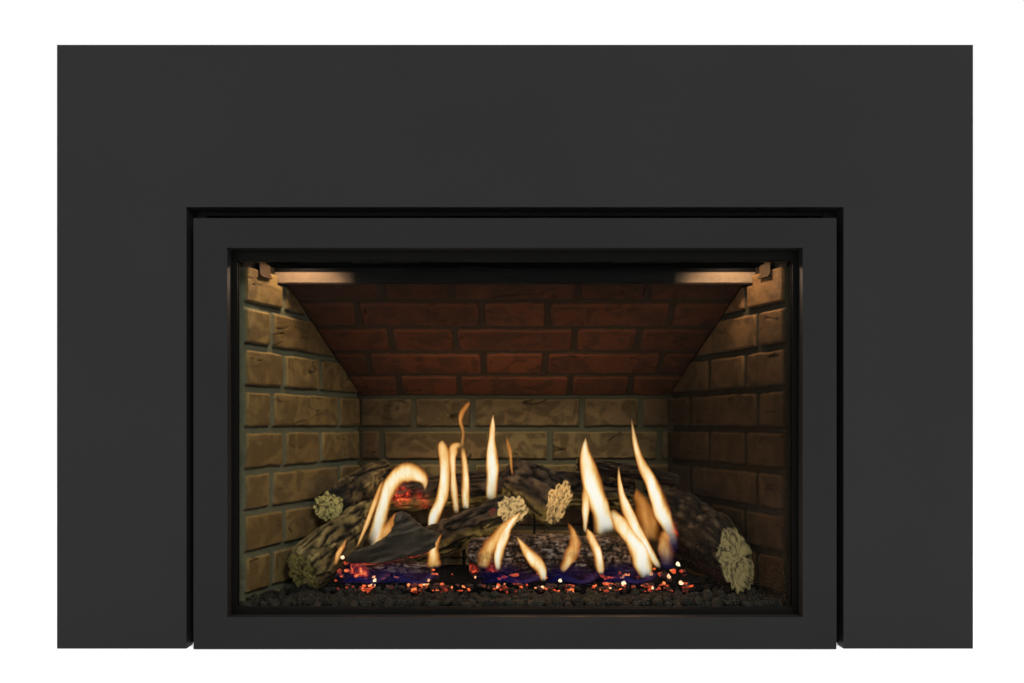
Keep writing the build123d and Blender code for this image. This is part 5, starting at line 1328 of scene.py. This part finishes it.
def add_flame(bm, layers, depth, lean, points, strength, blue):
    """One tongue. Lean is how far back its tip lies, and blue how much of its foot is. Its
    bright core wanders from side to side, and its foot is ragged and half clear."""
    seed = Vector((points[0][0] / 7, depth / 9, 0))
    inward = Vector((0, 1, 0))
    verts, edges = first_ring(bm, FLAME_SIDES, layers["angle"])
    for step in range(FLAME_STEPS + 1):
        share = step / FLAME_STEPS
        if step:
            verts, edges = next_ring(bm, edges)
        across, height, half = along_points(points, share)
        ahead_point = along_points(points, min(share + 0.02, 1))
        behind_point = along_points(points, max(share - 0.02, 0))
        ahead = Vector((ahead_point[0] - behind_point[0], 0, ahead_point[1] - behind_point[1]))
        side_way = Vector((ahead.z, 0, -ahead.x)).normalized()
        centre = place(across, depth + lean * share, height)
        sway = noise.noise(seed + Vector((0, 0, 3.2 * share)))
        half = max(half * FLAME_WIDER * (1 + 0.22 * noise.noise(seed + UP * 7 * share)), 0.25)
        for vert in verts:
            angle = vert[layers["angle"]]
            wide, deep = math.cos(angle), math.sin(angle)
            ragged = 0.07 * noise.noise(seed + 1.7 * Vector((wide, deep, 4)))
            vert.co = centre + (side_way * wide * half
                                + inward * deep * half * FLAME_DEEP) * MM
            vert[layers["core"]] = (deep * deep * strength * (1 + 1.5 * sway * wide)
                                    * (1 - 0.5 * share ** 3))
            vert[layers["foot"]] = (1 - smooth(share, 0.04, 0.04 + blue)) if blue else 0.0
            clear = 0.42 + 0.58 * smooth(share, 0.0, 0.42)
            vert[layers["fade"]] = (clear * smooth(share + ragged, 0.0, 0.10)
                                    * (1 - smooth(share, 0.80, 1.06)))


FLAMES = (               # depth, lean, strength, blue foot, then X, height and half width
    (122, 10, 1, 0, ((-196, 107, 8.4), (-187, 137, 9.5), (-179, 166, 8.4), (-171, 189, 9.4),
                     (-159, 204, 11.8), (-144, 208, 12.2), (-131, 203, 9.6), (-125, 194, 5.2),
                     (-125, 183, 0.5))),
    (118, 6, 0.6, 0.0, ((-217, 104, 1.3), (-205, 132, 3.1), (-194, 161, 3.7),
                        (-186, 184, 3.1), (-181, 197, 1.3))),
    (126, 4, 0.45, 0.0, ((-196, 108, 5.3), (-182, 123, 9.0), (-172, 136, 6.9),
                         (-166, 149, 2.1), (-164, 152, 0.5))),
    (205, 6, 0.9, 0.0, ((-123, 115, 6.2), (-118, 140, 8.5), (-108, 166, 8.5),
                        (-103, 197, 7.9), (-104, 225, 8.5), (-108, 242, 6.8),
                        (-108, 250, 1.5))),
    (212, 4, 0.75, 0.0, ((-87, 142, 4.0), (-90, 168, 5.1), (-92, 197, 4.5), (-94, 222, 5.7),
                         (-90, 239, 7.4), (-80, 242, 4.0))),
    (208, 6, 0.75, 0.0, ((-74, 149, 5.1), (-74, 180, 5.7), (-75, 211, 5.1), (-78, 239, 3.4))),
    (215, 0, 0.4, 0.0, ((-79, 239, 2.8), (-77, 262, 2.8), (-81, 279, 3.4), (-77, 295, 4.6),
                        (-69, 304, 2.8), (-66, 307, 0.6))),
    (190, 4, 1.0, 0.0, ((-35, 164, 7.8), (-33, 192, 8.4), (-33, 217, 8.4), (-34, 248, 5.6),
                        (-33, 273, 3.3), (-32, 289, 0.6))),
    (160, 0, 0.35, 0, ((-3, 200, 1), (-6, 222, 2.7), (-9, 244, 3.2), (-12, 258, 0.6))),
    (96, 4, 0.6, 0.1, ((-108, 81, 10.3), (-109, 96, 8.7), (-106, 111, 4.6), (-98, 128, 0.5))),
    (90, 8, 0.55, 0.06, ((-43, 80, 7.0), (-40, 97, 9.5), (-32, 115, 9.0), (-18, 132, 6.2),
                         (-4, 146, 4.0), (4, 154, 0.5))),
    (89, 9, 0.95, 0.0, ((-22, 80, 4.0), (-22, 97, 6.0), (-18, 115, 6.6), (-10, 133, 5.2),
                        (0, 148, 3.4), (8, 157, 0.5))),
    (86, 4, 0.8, 0, ((38, 66, 3.0), (33, 84, 8.3), (21, 99, 7.4), (10, 113, 3.8),
                     (2, 124, 0.5))),
    (88, 2, 0.55, 0.06, ((60, 76, 3.0), (70, 94, 8.2), (80, 110, 8.8), (76, 130, 4.9),
                         (70, 144, 0.5))),
    (88, 2, 0.75, 0.06, ((116, 72, 3.3), (111, 92, 6), (106, 111, 6), (99, 127, 4.4),
                         (95, 135, 1.1))),
    (152, 6, 1.1, 0.0, ((127, 120, 13.2), (122, 147, 13.2), (114, 176, 12.6),
                        (105, 208, 10.9), (100, 234, 6.9), (100, 255, 0.6))),
    (157, 4, 0.8, 0.0, ((99, 121, 2.3), (100, 147, 4.6), (101, 173, 5.8), (100, 199, 4.6),
                        (96, 222, 1.2))),
    (88, 14, 1.1, 0, ((175, 72, 9.4), (168, 96, 11.6), (157, 118, 9.2), (143, 138, 9.5),
                      (129, 157, 5.6))),
    (92, 14, 0.95, 0, ((193, 82, 2.8), (184, 96, 5), (171, 118, 6.1), (157, 144, 7.2),
                       (145, 174, 5), (141, 197, 2.8), (140, 216, 0.6))),
    (150, 0, 0.4, 0, ((195, 110, 11.4), (190, 130, 13.8), (183, 150, 13.3), (175, 170, 8.6),
                      (171, 184, 1.7))),
    (126, 4, 1, 0.22, ((219, 97, 6.7), (214, 125, 8.4), (204, 150, 11.2), (198, 172, 10.7),
                       (188, 195, 7.9), (176, 217, 6.2), (167, 245, 3.9), (161, 280, 0.6))),
    (106, 4, 0.5, 0.8, ((206, 78, 9.4), (206, 97, 10.5), (203, 117, 8.9), (201, 130, 3.9))),
    (98, 2, 0.5, 0.0, ((-242, 85, 2.6), (-236, 101, 4.1), (-230, 112, 2.6),
                       (-226, 120, 0.5))),
)
BLUE_RUNS = (            # from X to X: low blue flames that lie along the embers
    (-45, 40), (40, 112), (112, 190), (-235, -165), (-180, -105),
)
BLUE_HAZES = (           # the same for a faint blue haze above them
    (-240, -165), (-195, -95), (-52, 38), (30, 118), (105, 195),
)
RUN_FORM = (92, 2, 0.5)          # depth, lean and strength
HAZE_FORM = (88, 2, 0.27)
BLUE_ALL = 5.0           # a blue foot longer than the tongue itself


def tongues(name):
    """All the flames as one piece: the set tongues, then the blue ones lying flat."""
    bm = bmesh.new()
    layers = {word: bm.verts.layers.float.new(word) for word in FLAME_WORDS}
    for depth, lean, strength, blue, points in FLAMES:
        add_flame(bm, layers, depth, lean, points, strength, blue)
    for start, end in BLUE_RUNS:
        third = (end - start) / 3
        points = ((start, 62, 0.8), (start + third, 68, 5.4), (end - third, 63, 3.0),
                  (end - 8, 70, 5.0), (end, 77, 0.8))
        depth, lean, strength = RUN_FORM
        add_flame(bm, layers, depth, lean, points, strength, BLUE_ALL)
    for start, end in BLUE_HAZES:
        third = (end - start) / 3
        points = ((start, 70, 3.0), (start + third, 79, 12.0), (end - third, 74, 11.0),
                  (end, 72, 3.0))
        depth, lean, strength = HAZE_FORM
        add_flame(bm, layers, depth, lean, points, strength, BLUE_ALL)
    close_ends(bm)
    return piece(name, bm, flame_gas)


tongues("flames")

# %% [markdown]
# ## Floor, world and lamps
#
# The object stands in a plain bright room. The world is white for the camera and for
# reflections, and dimmer for light, so the background stays clean without bleaching the
# paint. The floor is half lit and half white, which keeps a soft shadow under the insert.
# Inside, two small lamps under the ceiling wash the side panels, and warm lights stand in
# for the fire. None of these lamps is turned up past the level where a colour still looks
# as it is written.

# %% World and floor
ROOM_LIGHT = 0.38
FLOOR_SIZE = 60.0
FLOOR_GLOW = 0.68
FLOOR_GAP = 0.0003


def seen_directly(tree):
    """1 for rays that should meet a white background: camera, glossy and transmission."""
    path = tree.nodes.new("ShaderNodeLightPath")
    share = path.outputs["Is Camera Ray"]
    for word in ("Is Glossy Ray", "Is Transmission Ray"):
        larger = tree.nodes.new("ShaderNodeMath")
        larger.operation = "MAXIMUM"
        tree.links.new(share, larger.inputs[0])
        tree.links.new(path.outputs[word], larger.inputs[1])
        share = larger.outputs["Value"]
    return share


def white_room():
    world = bpy.data.worlds.new("white_room")
    world.use_nodes = True
    tree = world.node_tree
    strength = tree.nodes.new("ShaderNodeMapRange")
    strength.inputs["To Min"].default_value = ROOM_LIGHT
    strength.inputs["To Max"].default_value = 1.0
    tree.links.new(seen_directly(tree), strength.inputs["Value"])
    background = tree.nodes["Background"]
    background.inputs["Color"].default_value = (1, 1, 1, 1)
    tree.links.new(strength.outputs["Result"], background.inputs["Strength"])
    bpy.context.scene.world = world


def pale_floor():
    bm = bmesh.new()
    bmesh.ops.create_grid(bm, x_segments=1, y_segments=1, size=FLOOR_SIZE / 2)
    mesh = bpy.data.meshes.new("pale_floor")
    bm.to_mesh(mesh)
    bm.free()
    mesh.transform(Matrix.Translation((0, 0, cad_low.z - FLOOR_GAP)))
    floor = bpy.data.objects.new("pale_floor", mesh)
    bpy.context.scene.collection.objects.link(floor)
    finish = Finish("pale_floor", Roughness=0.9, Specular_IOR_Level=0.0,
                    Emission_Color=(1, 1, 1))
    finish.colour(finish.mix(finish.noise(400), (0.88, 0.88, 0.88), (0.9, 0.9, 0.9)))
    finish.put("Emission Strength",
               finish.maths("MULTIPLY", seen_directly(finish.tree), FLOOR_GLOW))
    mesh.materials.append(finish.material)


white_room()
pale_floor()
print("room and floor made")

# %% Lamps
LAMP_SOFTNESS = 0.006    # square metres: keeps what is close to a small lamp from bleaching
FIRE_SOFTNESS = 0.0015


def soften_near(data, softness):
    """Lets a lamp's light fall off smoothly close by, as a frosted capsule's does."""
    data.use_nodes = True
    tree = data.node_tree
    falloff = tree.nodes.new("ShaderNodeLightFalloff")
    falloff.inputs["Strength"].default_value = 1.0
    falloff.inputs["Smooth"].default_value = softness
    tree.links.new(falloff.outputs["Quadratic"], tree.nodes["Emission"].inputs["Strength"])


def lamp(name, kind, spot, energy, colour=(1, 1, 1), size=0.05, aim=None):
    """A light at a frame point, turned towards another if it has one."""
    data = bpy.data.lights.new(name, kind)
    data.energy = energy
    data.color = colour
    if kind == "AREA":
        data.size = size
    else:
        data.shadow_soft_size = size
        soften_near(data, LAMP_SOFTNESS if kind == "SPOT" else FIRE_SOFTNESS)
    made = bpy.data.objects.new(name, data)
    made.location = spot
    if aim:
        made.rotation_euler = (aim - spot).to_track_quat("-Z", "Y").to_euler()
    bpy.context.scene.collection.objects.link(made)
    return made


MIDDLE = Vector((0, FACE_Y, 0.37))
FLAME_COLOUR = (1.0, 0.55, 0.22)
EMBER_COLOUR = (1.0, 0.22, 0.06)
LAMP_COLOUR = (1.0, 0.70, 0.46)
ROOM_LAMPS = (           # place, watts and size: a high key, a low one and a weak fill
    ((1.1, -2.9, 2.3), 74, 0.7), ((1.7, -3.5, 0.7), 14, 0.5), ((-1.5, -3.0, 0.6), 24, 1.2),
)
for spot, watts, size in ROOM_LAMPS:
    lamp("room_lamp", "AREA", Vector(spot), watts, size=size,
         aim=MIDDLE).visible_glossy = False
CEILING_LAMPS = (        # X, depth, height and watts
    (-288, 89, 503, 2.2), (290, 86, 503, 2.0),
)
CEILING_CONE = 150       # degrees, and the share of the cone that fades out
CEILING_BLEND = 0.4
for across, depth, height, watts in CEILING_LAMPS:
    ceiling_spot = place(across, depth, height)
    bulb = lamp("ceiling_lamp", "SPOT", ceiling_spot, watts, LAMP_COLOUR, 0.006,
                ceiling_spot - UP)
    bulb.data.spot_size = math.radians(CEILING_CONE)
    bulb.data.spot_blend = CEILING_BLEND
FIRE_LIGHTS = (          # X, depth, height and watts
    (-165, 118, 150, 0.10), (-150, 190, 200, 0.06), (-100, 190, 180, 0.06),
    (-33, 170, 200, 0.07), (-15, 95, 140, 0.09), (50, 120, 175, 0.09),
    (110, 130, 150, 0.12), (150, 88, 105, 0.08), (0, 85, 95, 0.05), (80, 85, 95, 0.06),
    (205, 120, 140, 0.10),
)
for across, depth, height, watts in FIRE_LIGHTS:
    lamp("fire_light", "POINT", place(across, depth, height), watts, FLAME_COLOUR, 0.012)
EMBER_LIGHTS = (-200, -120, -50, 20, 90, 160, 215)       # X of each, over the front embers
EMBER_WATTS = 0.015
for across in EMBER_LIGHTS:
    lamp("ember_light", "POINT", place(across, 84, 74), EMBER_WATTS, EMBER_COLOUR, 0.01)
print("lamps lit")

# %% [markdown]
# ## Camera
#
# The photograph was taken square on, from a little under half the object's height. Its
# vanishing point sits below the middle of the frame, so the camera stays level and its
# sensor is shifted instead. That keeps every upright edge upright.

# %% Camera
FRAME_WIDE = 1024        # the photograph's frame in pixels
FRAME_HIGH = 683
VANISHING = (515.0, 425.0)       # pixel of the point straight ahead of the camera
CAMERA_BACK = 980.0      # millimetres in front of the surround's face
CAMERA_HEIGHT = 273.0
MM_PER_PIXEL = 1.2205    # on the surround's face
SENSOR = 36.0

camera_data = bpy.data.cameras.new("camera")
camera_data.sensor_width = SENSOR
camera_data.lens = SENSOR * CAMERA_BACK / (FRAME_WIDE * MM_PER_PIXEL)
camera_data.shift_x = (FRAME_WIDE / 2 - VANISHING[0]) / FRAME_WIDE
camera_data.shift_y = (VANISHING[1] - FRAME_HIGH / 2) / FRAME_WIDE
camera = bpy.data.objects.new("camera", camera_data)
camera.location = place(0, -CAMERA_BACK, CAMERA_HEIGHT)
camera.rotation_euler = (math.radians(90), 0, 0)
bpy.context.scene.collection.objects.link(camera)
bpy.context.scene.camera = camera
bpy.context.scene.view_settings.view_transform = "Standard"
print("lens", round(camera_data.lens, 2))
